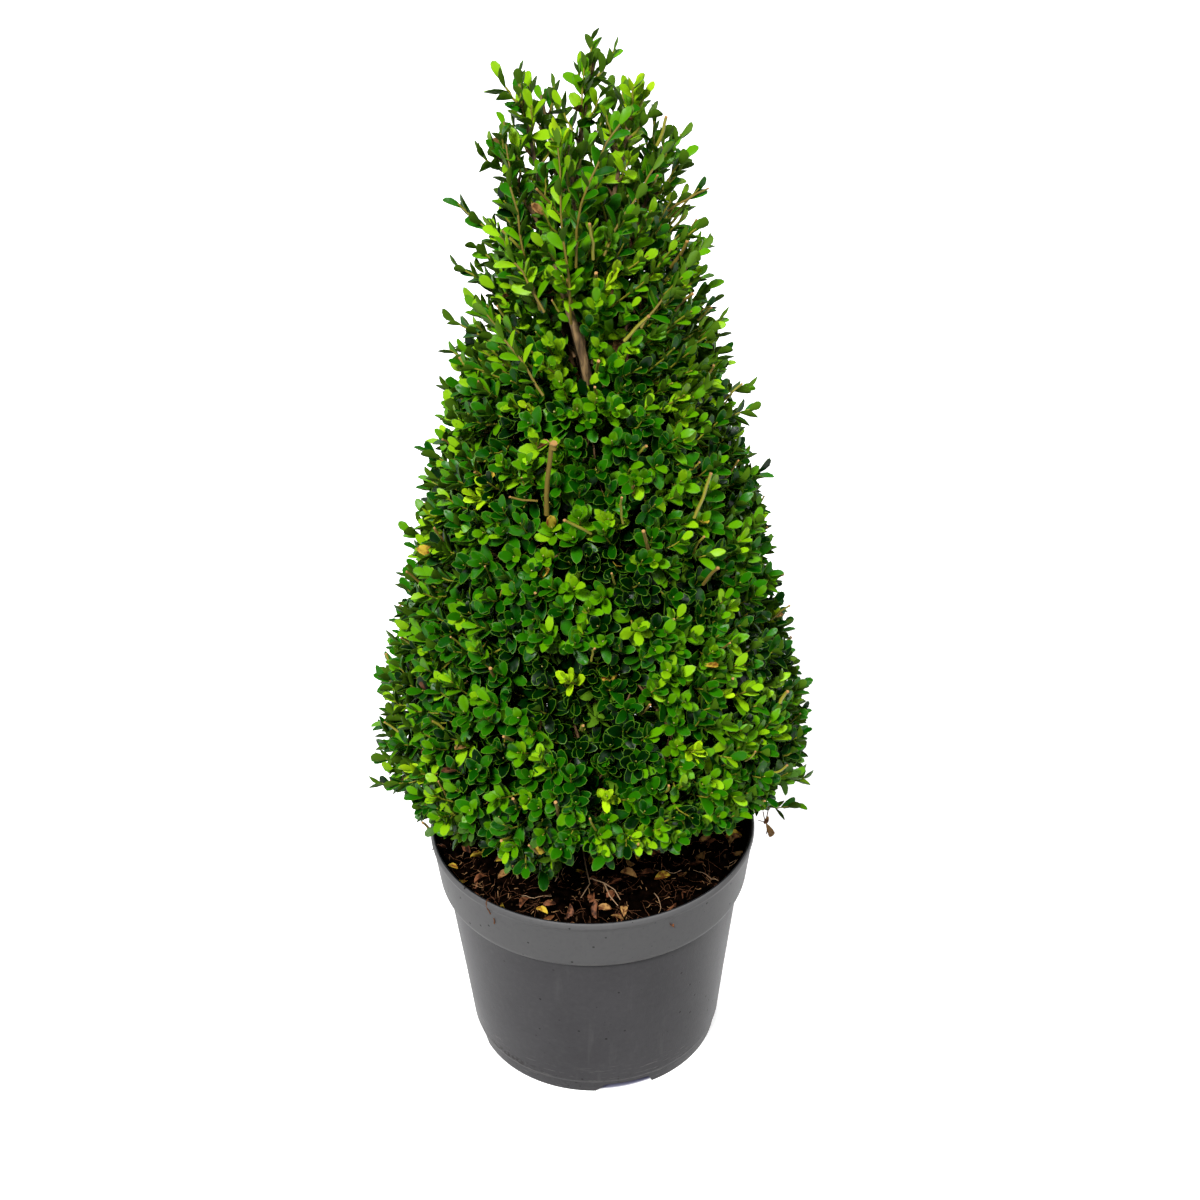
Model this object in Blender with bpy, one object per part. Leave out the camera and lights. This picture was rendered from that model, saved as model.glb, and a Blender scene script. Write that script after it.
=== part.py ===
"""Japanese holly, clipped to a cone, in a nursery pot: pot, soil, trunk, leaders and masses of foliage.

Metres, +Z up. The origin is the centre of the pot's foot, on the floor. The front of the plant is -Y.
Each mass of foliage is one closed solid: a stem, a smaller dense core, and leafy twigs that stand out of it.
"""

import math
import random
from collections import namedtuple

import bmesh
import bpy
from mathutils import Matrix, Vector
from mathutils.bvhtree import BVHTree

# ---- Driving dimensions: the pot, a 26 cm container of 7.5 litres

POT_RIM_RADIUS = 0.1300
POT_HEIGHT = 0.2010
COLLAR_FOOT_Z = 0.1550  # where the collar steps in to the body
COLLAR_FOOT_RADIUS = 0.1244
BODY_TOP_RADIUS = 0.1187
BODY_FOOT_RADIUS = 0.1030
FOOT_RADIUS = 0.1004
FOOT_LEDGE_Z = 0.0130
POT_WALL = 0.0020
BASE_LIFT = 0.0090  # the base plate hangs this far above the floor, inside the foot ring
BASE_PLATE = 0.0026
POT_SEGMENTS = 48
NOTCH_COUNT = 4
NOTCH_FIRST_AZIMUTH = math.radians(-77.0)
NOTCH_HALF_ANGLE = math.radians(12.5)
NOTCH_HEIGHT = 0.0085
DRAIN_RADIUS = 0.0065
DRAIN_RING_RADIUS = 0.0800
DRAIN_SIDES = 10
RIM_LIP = 0.0032  # width of the flat lip on top of the rim
COLLAR_INNER_FOOT_Z = COLLAR_FOOT_Z + 0.0060

CLEARANCE = 0.0003  # between pieces that touch
SHARP_ANGLE = math.radians(40.0)  # edges sharper than this aren't smoothed
X_AXIS, UP = Vector((1.0, 0.0, 0.0)), Vector((0.0, 0.0, 1.0))

SOIL_EDGE_Z = 0.1880
SOIL_TOP_Z = 0.1930
SOIL_SEGMENTS = 24
SOIL_FLAT_RADIUS = 0.0260  # the flat round the trunk
SOIL_UNEVEN = 0.0022

# ---- Driving dimensions: the plant

TRUNK_FOOT_RADIUS = 0.0095
TRUNK_TOP_RADIUS = 0.0036
FLARE_RADIUS = 0.0075  # added to the trunk at the soil
FLARE_HEIGHT = 0.0110
FLARE_LOBES = 0.13  # how much the flare swells and shrinks round the trunk
TRUNK_SIDES = 10
TRUNK_PATH = (  # height, shift in X, shift in Y
    (SOIL_TOP_Z + CLEARANCE, 0.0000, 0.0000),
    (0.2300, 0.0010, -0.0015),
    (0.3000, 0.0030, -0.0010),
    (0.3800, 0.0010, 0.0020),
    (0.4700, 0.0020, 0.0000),
    (0.5400, 0.0045, -0.0025),
    (0.5750, 0.0030, -0.0030),
    (0.6040, 0.0004, -0.0030),
)

# The surface that the shears leave: height above the floor, radius.
OUTLINE = (
    (0.2060, 0.0580),
    (0.2160, 0.0860),
    (0.2320, 0.1150),
    (0.2520, 0.1430),
    (0.2780, 0.1630),
    (0.3100, 0.1690),
    (0.4000, 0.1510),
    (0.5000, 0.1270),
    (0.6000, 0.0990),
    (0.7000, 0.0750),
    (0.7600, 0.0600),
    (0.8000, 0.0400),
    (0.8220, 0.0120),
)
SKIRT_SHIFT_X, TIP_SHIFT_X = 0.0020, 0.0120  # the cone leans a little towards +X
SHIFT_Y = -0.0030
SEAM = 0.0012  # half the gap between neighbouring masses
CORE_DEPTH = 0.0330  # how far a core's face lies under the clipped surface
CORE_ROUND_Z = 0.0130  # how much further back it lies at its top and foot
CORE_ROUND_SEAM = 0.0080  # and at its seams
CORE_LUMPS = 0.0030
CORE_LEAST = 0.0100  # its least depth from the shaft
CORE_ROWS = (0.0, 0.22, 0.78, 1.0)  # shares of its height and its sweep where its face has corners
CORE_COLUMNS = (0.0, 0.2, 0.5, 0.8, 1.0)
CORE_GAP = 0.0040  # between a core and the seam above or below it

# Tiers of the clipped cone. Each is parted into masses by upright seams, the first at first_seam degrees,
# and is hollow within shaft of the cone's axis. rows and columns count the twigs on each mass.
Tier = namedtuple("Tier", "name foot top masses first_seam shaft rows columns")
TIERS = (
    Tier("skirt", 0.2060, 0.3320, 6, -60.0, 0.0420, 3, 3),
    Tier("middle", 0.3320, 0.4620, 5, -90.0, 0.0340, 3, 3),
    Tier("upper", 0.4620, 0.5860, 4, -45.0, 0.0290, 3, 3),
    Tier("shoulder", 0.5860, 0.7260, 3, -90.0, 0.0375, 4, 4),
)
SEAM_WAVE = 0.065  # the seams between tiers rise and fall by this share of the plant's radius there
SKIRT_CORE_FOOT = 0.2260
SHOULDER_CORE_TOP = 0.6860
SHOULDER_GAP = math.radians(7.5)  # the shoulder is open this far each side of the front, and shows the trunk
STEM_DROP = 0.0160  # a mass's stem leaves the trunk this far below the mass
SHOULDER_STEM_Z = 0.5420
STEM_RADIUS, STEM_TIP_RADIUS = 0.0020, 0.0016

# Leaders of the loose crown: the height where one leaves the trunk (none for the trunk's own tip), its tip,
# and the share of the way out that it has gone at its bend.
Leader = namedtuple("Leader", "name height tip share")
LEADERS = (
    Leader("centre", None, (0.0115, 0.0000, 0.8050), -0.90),
    Leader("right", 0.5980, (0.0375, -0.0120, 0.7860), 0.30),
    Leader("far_right", 0.5740, (0.0610, 0.0090, 0.7480), 0.26),
    Leader("back_right", 0.5880, (0.0300, 0.0440, 0.7640), 0.34),
    Leader("back_left", 0.5700, (-0.0240, 0.0460, 0.7700), 0.26),
    Leader("left", 0.5700, (-0.0370, 0.0020, 0.7900), 0.50),
    Leader("far_left", 0.5960, (-0.0550, -0.0230, 0.7560), 0.10),
    Leader("front", 0.5700, (-0.0060, -0.0480, 0.7640), 0.28),
)
LEADER_BEND = 0.56  # the bend's share of the height
LEADER_RADIUS, LEADER_TIP_RADIUS = 0.0020, 0.0011
LEADER_GUARD = 0.0012  # the masses keep this clear of a leader
CROWN_FOOT_Z = 0.7280
SIDE_TWIG_STEP, LEAF_STEP = 0.0120, 0.0100  # along a leader in the crown
SIDE_TWIG_LENGTH = 0.0240

LEAF_LENGTH, LEAF_WIDTH, LEAF_RIDGE = 0.0330, 0.0200, 0.0030
LEAF_WIDEST, LEAF_RIB = 0.64, 0.40  # shares of the length where a leaf is widest, and its rib highest
LEAF_ROOT_SUNK = 0.0005
LEAF_FIRST, LEAF_SPACING = 0.0022, 0.0034  # from a twig's tip back to its first leaf, and on to the next
TWIG_RADIUS, TWIG_TIP_RADIUS = 0.0017, 0.0014
SHOOT_RISE = 0.30  # how much shoots turn up from the way the clipped surface faces
HEART_DEPTH = 0.40  # share of the radius at which a mass's stem ends, inside its core
LEAF_PROUD = 0.0080  # the most that a leaf stands out of the clipped surface
TWIG_SET_BACK = 0.0140  # a twig ends this far under the clipped surface, and its leaves reach it
STEM_SIDES = 5  # leaves stand on every second side of a stem in turn

GREEN, DARK_GREEN = (0.07, 0.24, 0.02), (0.03, 0.12, 0.02)
BARK, PEAT, GREY_PLASTIC = (0.16, 0.10, 0.06), (0.035, 0.018, 0.010), (0.125, 0.128, 0.130)


# Corners: root, left, tip, right, rib. A blade is a leaf without the quarter next to its twig.
LEAF_FACES = ((0, 3, 2, 1), (0, 1, 4), (1, 2, 4), (2, 3, 4), (3, 0, 4))
BLADE_FACES = ((0, 1, 2, 3, 4), (0, 1, 5), (1, 2, 5), (2, 3, 5), (3, 4, 5))
BLADE_START = 0.25

# Turns about its twig, and changes of lean, that are tried for a leaf, in this order.
LEAF_TRIES = (
    (0.0, 0.0),
    (0.4, 0.0),
    (-0.4, 0.0),
    (0.0, -0.3),
    (0.8, 0.0),
    (-0.8, 0.0),
    (0.4, -0.3),
    (-0.4, -0.3),
    (0.8, -0.4),
    (-0.8, -0.4),
    (1.2, -0.2),
    (-1.2, -0.2),
)


# ---- Scene, materials and plain mesh objects


def clear_scene():
    for obj in list(bpy.data.objects):
        bpy.data.objects.remove(obj, do_unlink=True)


def material(name, colour, roughness):
    made = bpy.data.materials.new(name)
    made.use_nodes = True
    shader = made.node_tree.nodes["Principled BSDF"]
    shader.inputs["Base Color"].default_value = (*colour, 1.0)
    shader.inputs["Roughness"].default_value = roughness
    shader.inputs["Metallic"].default_value = 0.0
    return made


def new_object(name, mesh, finish=None, collection=None):
    obj = bpy.data.objects.new(name, mesh)
    (collection or bpy.context.scene.collection).objects.link(obj)
    if finish is not None:
        mesh.materials.append(finish)
    return obj


def mesh_of(name, points, faces):
    """A mesh with its faces turned outwards."""
    mesh = bpy.data.meshes.new(name)
    mesh.from_pydata([tuple(p) for p in points], [], faces)
    build = bmesh.new()
    build.from_mesh(mesh)
    bmesh.ops.recalc_face_normals(build, faces=build.faces[:])
    build.to_mesh(mesh)
    build.free()
    return mesh


def turned(name, profile, segments):
    """A closed mesh turned round Z from (radius, height) pairs, with flat ends at the first and the last."""
    points, faces = [], []
    for radius, height in profile:
        for i in range(segments):
            angle = 2.0 * math.pi * i / segments
            points.append((radius * math.cos(angle), radius * math.sin(angle), height))
    for ring in range(len(profile) - 1):
        for i in range(segments):
            j = (i + 1) % segments
            lower, upper = ring * segments, (ring + 1) * segments
            faces.append((lower + i, lower + j, upper + j, upper + i))
    faces.append(tuple(range(segments)))
    faces.append(tuple(range((len(profile) - 1) * segments, len(profile) * segments)))
    return mesh_of(name, points, faces)


def boolean(obj, operation, collection, solver="EXACT"):
    """Joins or cuts obj with everything in the collection, applies that, and removes the collection."""
    change = obj.modifiers.new("shape", "BOOLEAN")
    change.operation = operation
    change.operand_type = "COLLECTION"
    change.collection = collection
    change.solver = solver
    bpy.context.view_layer.update()
    graph = bpy.context.evaluated_depsgraph_get()
    mesh = bpy.data.meshes.new_from_object(obj.evaluated_get(graph))
    obj.modifiers.clear()
    obj.data = mesh
    for piece in list(collection.objects):
        bpy.data.objects.remove(piece, do_unlink=True)
    bpy.data.collections.remove(collection)


def shade_round(mesh):
    mesh.shade_smooth()
    mesh.set_sharp_from_angle(angle=SHARP_ANGLE)


def keep_largest_shell(obj):
    """Drops loose scraps, and fills the pockets that fusing seals: only the largest of the shells stays."""
    build = bmesh.new()
    build.from_mesh(obj.data)
    shells, seen = [], set()
    for start in build.faces:
        if start in seen:
            continue
        shell, front = [], [start]
        seen.add(start)
        while front:
            face = front.pop()
            shell.append(face)
            for edge in face.edges:
                for other in edge.link_faces:
                    if other not in seen:
                        seen.add(other)
                        front.append(other)
        shells.append(shell)
    shells.sort(key=len, reverse=True)
    for shell in shells[1:]:
        bmesh.ops.delete(build, geom=shell, context="FACES")
    build.to_mesh(obj.data)
    build.free()


def new_collection(name):
    made = bpy.data.collections.new(name)
    bpy.context.scene.collection.children.link(made)
    return made


# ---- The rules that the plant grows by


def between(table, height):
    """The value of a smooth curve through (height, value) pairs."""
    last = len(table) - 2
    k = max(0, min(last, sum(height >= row[0] for row in table) - 1))
    (z0, v0), (z1, v1) = table[k], table[k + 1]
    before, after = table[max(k - 1, 0)], table[min(k + 2, last + 1)]
    step = z1 - z0
    t = max(0.0, min(1.0, (height - z0) / step))
    slope0 = (v1 - before[1]) / (z1 - before[0]) * step
    slope1 = (after[1] - v0) / (after[0] - z0) * step
    a = 2 * t**3 - 3 * t**2 + 1
    b = t**3 - 2 * t**2 + t
    c = -2 * t**3 + 3 * t**2
    d = t**3 - t**2
    return a * v0 + b * slope0 + c * v1 + d * slope1


def outline_radius(height):
    return max(0.0, between(OUTLINE, height))


def axis_at(height):
    """The cone's own axis, which leans from the skirt to the tip."""
    t = (height - OUTLINE[0][0]) / (OUTLINE[-1][0] - OUTLINE[0][0])
    return Vector((SKIRT_SHIFT_X + (TIP_SHIFT_X - SKIRT_SHIFT_X) * max(0.0, t) ** 2, SHIFT_Y, height))


def on_surface(azimuth, height, depth=0.0):
    """A point under the clipped surface by depth, measured along the radius."""
    radius = max(0.0, outline_radius(height) - depth)
    return axis_at(height) + Vector((radius * math.cos(azimuth), radius * math.sin(azimuth), 0.0))


def outward(azimuth, height):
    """The direction in which the clipped surface faces, turned a little upwards, as shoots are."""
    step = 0.006
    rise = (outline_radius(height + step) - outline_radius(height - step)) / (2.0 * step)
    normal = Vector((math.cos(azimuth), math.sin(azimuth), -rise)).normalized()
    return (normal + UP * SHOOT_RISE).normalized()


def trunk_at(height):
    x = between([(row[0], row[1]) for row in TRUNK_PATH], height)
    y = between([(row[0], row[2]) for row in TRUNK_PATH], height)
    return Vector((x, y, height))


def trunk_radius(height):
    foot, top = TRUNK_PATH[0][0], TRUNK_PATH[-1][0]
    t = (height - foot) / (top - foot)
    taper = TRUNK_FOOT_RADIUS + (TRUNK_TOP_RADIUS - TRUNK_FOOT_RADIUS) * t**0.8
    return taper + FLARE_RADIUS * math.exp(-(height - foot) / FLARE_HEIGHT)


def beside_trunk(height, target, distance):
    """A point beside the trunk on the side of the target, at a distance from the trunk's bark."""
    start = trunk_at(height)
    aim = Vector((target[0] - start.x, target[1] - start.y, 0.0)).normalized()
    return start + aim * (trunk_radius(height) + distance)


def leader_base(leader):
    """Where a leader starts: on the trunk's tip, or on its side towards the leader's own tip."""
    if leader.height is None:
        return trunk_at(TRUNK_PATH[-1][0]) + UP * 2.0 * CLEARANCE
    return beside_trunk(leader.height, leader.tip, LEADER_RADIUS + 2.0 * CLEARANCE)


def leader_at(leader, t):
    """A point on a leader: it leaves the trunk steeply, then bends out to its tip."""
    base, tip = leader_base(leader), Vector(leader.tip)
    bend = base.lerp(tip, leader.share)
    bend.z = base.z + LEADER_BEND * (tip.z - base.z)
    return base * (1 - t) ** 2 + bend * 2 * t * (1 - t) + tip * t**2


def leader_share_at(leader, height):
    """How far along the leader it passes a height, found by halving."""
    low, high = 0.0, 1.0
    for _ in range(30):
        middle = 0.5 * (low + high)
        if leader_at(leader, middle).z < height:
            low = middle
        else:
            high = middle
    return low


def leader_radius(t):
    return LEADER_RADIUS + (LEADER_TIP_RADIUS - LEADER_RADIUS) * t


def leader_path(leader, end):
    """Points along a leader up to a height, and its radius at each."""
    shares = [leader_share_at(leader, end) * i / 5 for i in range(6)]
    return [leader_at(leader, t) for t in shares], [leader_radius(t) for t in shares]


# ---- Limbs, leaves and cores as closed meshes


def across_to(along, reference):
    """The unit vector square to along that lies nearest to the reference."""
    return (reference - along * along.dot(reference)).normalized()


def limb(name, path, radii, sides, reference=X_AXIS):
    """A tapering limb with flat ends along a path. Each ring's first corner lies towards the reference."""
    points, faces = [], []
    for i, centre in enumerate(path):
        along = (path[min(i + 1, len(path) - 1)] - path[max(i - 1, 0)]).normalized()
        across = across_to(along, reference)
        side = along.cross(across)
        for k in range(sides):
            turn = 2.0 * math.pi * k / sides
            points.append(centre + radii[i] * (across * math.cos(turn) + side * math.sin(turn)))
    for i in range(len(path) - 1):
        for k in range(sides):
            a, b = i * sides + k, i * sides + (k + 1) % sides
            faces.append((a, b, b + sides, a + sides))
    faces.append(tuple(range(sides)))
    faces.append(tuple(range((len(path) - 1) * sides, len(path) * sides)))
    return mesh_of(name, points, faces)


def leaf_points(root, along, face, size):
    """An obovate leaf: root, widest points, tip, and a raised midrib point above the flat underside."""
    across = along.cross(face).normalized()
    face = across.cross(along).normalized()
    length, half_width = LEAF_LENGTH * size, across * LEAF_WIDTH * size * 0.5
    root = root - along * LEAF_ROOT_SUNK
    wide = root + along * length * LEAF_WIDEST
    rib = root + along * length * LEAF_RIB + face * LEAF_RIDGE * size
    return [root, wide - half_width, root + along * length, wide + half_width, rib]


def blade_of(points):
    """A leaf without the part next to its twig, where leaves do meet."""
    root, left, tip, right, rib = points
    return [root.lerp(left, BLADE_START), left, tip, right, root.lerp(right, BLADE_START), rib]


def polygons_of(mesh):
    return [vertex.co.copy() for vertex in mesh.vertices], [tuple(face.vertices) for face in mesh.polygons]


class Foliage:
    """The twigs and leaves of a mass while it grows. What would cross a limb or an earlier leaf is refused."""

    def __init__(self, space, dice, limbs=()):
        self.space, self.dice = space, dice
        self.pieces, self.points, self.faces = [], [], []
        for mesh in limbs:
            self.keep_clear_of(*polygons_of(mesh))
        self.limbs = BVHTree.FromPolygons(self.points, self.faces)

    def keep_clear_of(self, points, faces):
        start = len(self.points)
        self.points += points
        self.faces += [tuple(start + k for k in face) for face in faces]

    def add_leaf(self, root, stem_along, facing, lean, size):
        """A leaf at root, leaning out of its twig to where it faces. It turns to find room, or is skipped."""
        for swing, tilt in LEAF_TRIES:
            around = Matrix.Rotation(swing, 3, stem_along) @ facing
            angle = lean + tilt
            along = (stem_along * math.cos(angle) + around * math.sin(angle)).normalized()
            points = leaf_points(root, along, stem_along, size)
            edges = [a.lerp(b, 0.5) for a, b in zip(points[:4], points[1:4] + points[:1])]
            if not all(self.space.holds(point) for point in points + edges):
                continue
            blade = blade_of(points)
            earlier = BVHTree.FromPolygons(self.points, self.faces)
            if earlier.overlap(BVHTree.FromPolygons(blade, BLADE_FACES)):
                continue
            self.keep_clear_of(blade, BLADE_FACES)
            self.pieces.append(mesh_of("leaf", points, LEAF_FACES))
            return 1
        return 0

    def add_twig(self, root, tip):
        """A three-sided twig with a leaf on each side. A twig that would leave the space is skipped."""
        if not all(self.space.holds(root.lerp(tip, share)) for share in (0.4, 0.7, 1.0)):
            return 0
        along = (tip - root).normalized()
        corner = Matrix.Rotation(self.dice.uniform(0.0, 2.0 * math.pi), 3, along) @ along.orthogonal()
        corner.normalize()
        twig = limb("twig", [root, tip], [TWIG_RADIUS, TWIG_TIP_RADIUS], 3, corner)
        if self.limbs.overlap(BVHTree.FromPolygons(*polygons_of(twig))):
            return 0
        self.pieces.append(twig)
        grown = 0
        for k in range(3):
            facing = Matrix.Rotation((2 * k + 1) * math.pi / 3.0, 3, along) @ corner
            at = tip - along * (LEAF_FIRST + LEAF_SPACING * k)
            lean = math.radians(self.dice.uniform(46.0, 60.0) + 7.0 * k)
            grown += self.add_leaf(at, along, facing, lean, self.dice.uniform(0.88, 1.10))
        return grown


def seam_height(level, azimuth):
    """The wavy seam between two tiers. The skirt's foot and the shoulder's top are level."""
    if level in (TIERS[0].foot, TIERS[-1].top):
        return level
    return level + SEAM_WAVE * outline_radius(level) * math.sin(3.0 * azimuth + 40.0 * level)


class Wedge:
    """The space of one mass of a tier: between two seams, round the shaft, up to the clipped surface."""

    def __init__(self, tier, number):
        self.tier, self.foot, self.top, self.shaft = tier, tier.foot, tier.top, tier.shaft
        self.name = f"foliage_{tier.name}_{number + 1}"
        sweep = 2.0 * math.pi / tier.masses
        self.start = math.radians(tier.first_seam) + number * sweep
        self.end = self.start + sweep
        self.core_rise = self.core_drop = CORE_GAP
        self.stem_z = self.foot - STEM_DROP
        if tier.name == "skirt":
            self.core_rise = SKIRT_CORE_FOOT - self.foot
            self.stem_z = SOIL_TOP_Z + 0.022
        if tier.name == "shoulder":
            self.core_drop = self.top - SHOULDER_CORE_TOP
            self.stem_z = SHOULDER_STEM_Z
            self.start += SHOULDER_GAP if number == 0 else 0.0
            self.end -= SHOULDER_GAP if number == tier.masses - 1 else 0.0
        self.middle = 0.5 * (self.start + self.end)

    def azimuth(self, share):
        return self.start + (self.end - self.start) * share

    def core_span(self, share):
        """The foot and the top of the core at a share of the way from seam to seam."""
        azimuth = self.azimuth(share)
        foot, top = seam_height(self.foot, azimuth), seam_height(self.top, azimuth)
        return foot + self.core_rise, top - self.core_drop

    def holds(self, point):
        offset = point - axis_at(point.z)
        radius, azimuth = math.hypot(offset.x, offset.y), math.atan2(offset.y, offset.x)
        if radius < self.shaft + SEAM or radius > outline_radius(point.z) + LEAF_PROUD:
            return False
        foot, top = seam_height(self.foot, azimuth), seam_height(self.top, azimuth)
        if not foot + 2.0 * SEAM < point.z < top - 2.0 * SEAM:
            return False
        turn = (azimuth - self.middle + math.pi) % (2.0 * math.pi) - math.pi
        return radius * math.sin(self.end - self.middle - abs(turn)) > SEAM * 0.6


class Cell:
    """The space of one tuft of the crown: nearer to its own leader than to any other."""

    def __init__(self, leader):
        self.leader = leader
        self.name = "foliage_crown_" + leader.name

    @staticmethod
    def distance(leader, point):
        near = leader_at(leader, leader_share_at(leader, point.z))
        return math.hypot(point.x - near.x, point.y - near.y)

    def holds(self, point):
        offset = point - axis_at(point.z)
        if point.z < CROWN_FOOT_Z + SEAM:
            return False
        if math.hypot(offset.x, offset.y) > outline_radius(point.z) + LEAF_PROUD:
            return False
        own = self.distance(self.leader, point)
        others = (self.distance(other, point) for other in LEADERS if other is not self.leader)
        return all(own + SEAM < other for other in others)


def core_radius(space, height, share):
    """The radius of a core's outer face at a height and a share of the way from seam to seam."""
    radius = outline_radius(height) - CORE_DEPTH
    foot, top = space.core_span(share)
    up = (height - foot) / (top - foot)
    radius -= CORE_ROUND_Z * max(0.0, 1.0 - min(up, 1.0 - up) / CORE_ROWS[1])
    radius -= CORE_ROUND_SEAM * max(0.0, 1.0 - min(share, 1.0 - share) / CORE_COLUMNS[1])
    return max(radius, space.shaft + CORE_LEAST)


def in_core(space, height, share, radius):
    """A point at a share of the way from seam to seam, with both seams left clear."""
    inset = SEAM / radius
    azimuth = space.start + inset + (space.end - space.start - 2.0 * inset) * share
    return axis_at(height) + Vector((radius * math.cos(azimuth), radius * math.sin(azimuth), 0.0))


def root_in_core(space, azimuth, tip):
    """Where a twig starts: sunk in the core, a little lower than its tip."""
    share = max(0.08, min(0.92, (azimuth - space.start) / (space.end - space.start)))
    foot, top = space.core_span(share)
    height = max(foot + 0.007, min(top - 0.007, tip.z - 0.008))
    radius = core_radius(space, height, share) - 0.55 * CORE_LEAST
    return in_core(space, height, share, radius)


def wedge_core(space, dice):
    """The dense inside of a mass: a lumpy wedge, set back at its edges, that is hollow within the shaft."""
    rows, columns = len(CORE_ROWS), len(CORE_COLUMNS)
    points, faces = [], []
    for layer in ("inner", "outer"):
        for up in CORE_ROWS:
            for share in CORE_COLUMNS:
                foot, top = space.core_span(share)
                height = foot + (top - foot) * up
                radius = space.shaft + SEAM
                if layer == "outer":
                    radius = core_radius(space, height, share) + dice.uniform(-CORE_LUMPS, CORE_LUMPS)
                points.append(in_core(space, height, share, radius))
    size = rows * columns
    for row in range(rows - 1):
        for column in range(columns - 1):
            k = row * columns + column
            faces.append((k, k + 1, k + columns + 1, k + columns))
            faces.append((size + k, size + k + columns, size + k + columns + 1, size + k + 1))
    for column in range(columns - 1):
        k, top_k = column, (rows - 1) * columns + column
        faces.append((k, size + k, size + k + 1, k + 1))
        faces.append((top_k, top_k + 1, size + top_k + 1, size + top_k))
    for row in range(rows - 1):
        k, far = row * columns, row * columns + columns - 1
        faces.append((k, k + columns, size + k + columns, size + k))
        faces.append((far, size + far, size + far + columns, far + columns))
    return mesh_of("core", points, faces)


def leader_guards():
    """The leaders, a little thicker than they are, for the masses to keep clear of."""
    guards = []
    for leader in LEADERS:
        path, radii = leader_path(leader, CROWN_FOOT_Z)
        guards.append(limb("guard", path, [radius + LEADER_GUARD for radius in radii], STEM_SIDES))
    return guards


def arc_heights(foot, top, count):
    """Heights that part the clipped surface into equal lengths along its profile, at their middles."""
    steps = 60
    heights = [foot + (top - foot) * i / steps for i in range(steps + 1)]
    lengths = [0.0]
    for low, high in zip(heights, heights[1:]):
        lengths.append(lengths[-1] + math.hypot(high - low, outline_radius(high) - outline_radius(low)))
    wanted = [lengths[-1] * (i + 0.5) / count for i in range(count)]
    return [heights[min(range(steps + 1), key=lambda i: abs(lengths[i] - w))] for w in wanted]


def fuse(name, base, pieces, finish):
    """One closed solid of a base mesh and the meshes that grow from it."""
    obj = new_object(name, base, finish)
    joined = new_collection(name + "_pieces")
    for piece in pieces:
        new_object("piece", piece, collection=joined)
    boolean(obj, "UNION", joined, solver="MANIFOLD")
    keep_largest_shell(obj)


def make_wedge_mass(space, finish):
    dice = random.Random(space.name)
    core = wedge_core(space, dice)
    heart_z = 0.5 * (space.foot + space.top)
    heart = on_surface(space.middle, heart_z, HEART_DEPTH * outline_radius(heart_z))
    stem_foot = beside_trunk(space.stem_z, heart, STEM_RADIUS + 1.5 * CLEARANCE)
    growth = Foliage(space, dice, leader_guards())
    growth.pieces.append(limb("stem", [stem_foot, heart], [STEM_RADIUS, STEM_TIP_RADIUS], STEM_SIDES, UP))
    leaves = 0
    for row, height in enumerate(arc_heights(space.foot, space.top, space.tier.rows)):
        for column in range(space.tier.columns):
            stagger = 0.2 if row % 2 else -0.2
            share = (column + 0.5 + stagger) / space.tier.columns + dice.uniform(-0.05, 0.05)
            azimuth = space.azimuth(share)
            depth = TWIG_SET_BACK + dice.uniform(-0.003, 0.003)
            tip = on_surface(azimuth, height) - outward(azimuth, height) * depth
            leaves += growth.add_twig(root_in_core(space, azimuth, tip), tip)
    print(space.name, "leaves:", leaves)
    fuse(space.name, core, growth.pieces, finish)


def make_crown_tuft(space, finish):
    """A tuft grows on the end of a leader: side twigs low down, and single leaves in a spiral above them."""
    dice = random.Random(space.name)
    leader = space.leader
    start = leader_share_at(leader, CROWN_FOOT_Z + 2.0 * SEAM)
    shares = [start + (1.0 - start) * i / 3 for i in range(4)]
    path = [leader_at(leader, t) for t in shares]
    stem = limb("stem", path, [leader_radius(t) for t in shares], STEM_SIDES)
    growth, leaves = Foliage(space, dice), 0
    length = (path[-1] - path[0]).length
    side_twigs = max(2, round(length / SIDE_TWIG_STEP))
    for k in range(side_twigs):
        here = leader_at(leader, start + (1.0 - start) * (0.06 + 0.62 * k / side_twigs))
        off = here - axis_at(here.z)
        azimuth = math.atan2(off.y, off.x) + (0.0, 1.3, -1.3)[k % 3] + dice.uniform(-0.2, 0.2)
        aim = Vector((math.cos(azimuth), math.sin(azimuth), 0.60 + 0.30 * k)).normalized()
        leaves += growth.add_twig(here, here + aim * (SIDE_TWIG_LENGTH - 0.0020 * k))
    count = max(4, round(length / LEAF_STEP))
    for k in range(count):
        t = start + (1.0 - start) * (0.30 + 0.70 * (k + 0.3) / count)
        along = (leader_at(leader, min(t + 0.02, 1.0)) - leader_at(leader, t - 0.02)).normalized()
        turn = (4 * k + 1) * math.pi / STEM_SIDES
        facing = Matrix.Rotation(turn, 3, along) @ across_to(along, X_AXIS)
        lean = math.radians(64.0 - 34.0 * k / count)
        leaves += growth.add_leaf(leader_at(leader, t), along, facing, lean, dice.uniform(0.74, 0.92))
    print(space.name, "leaves:", leaves)
    fuse(space.name, stem, growth.pieces, finish)


# ---- Pot, soil, trunk and leaders


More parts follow.
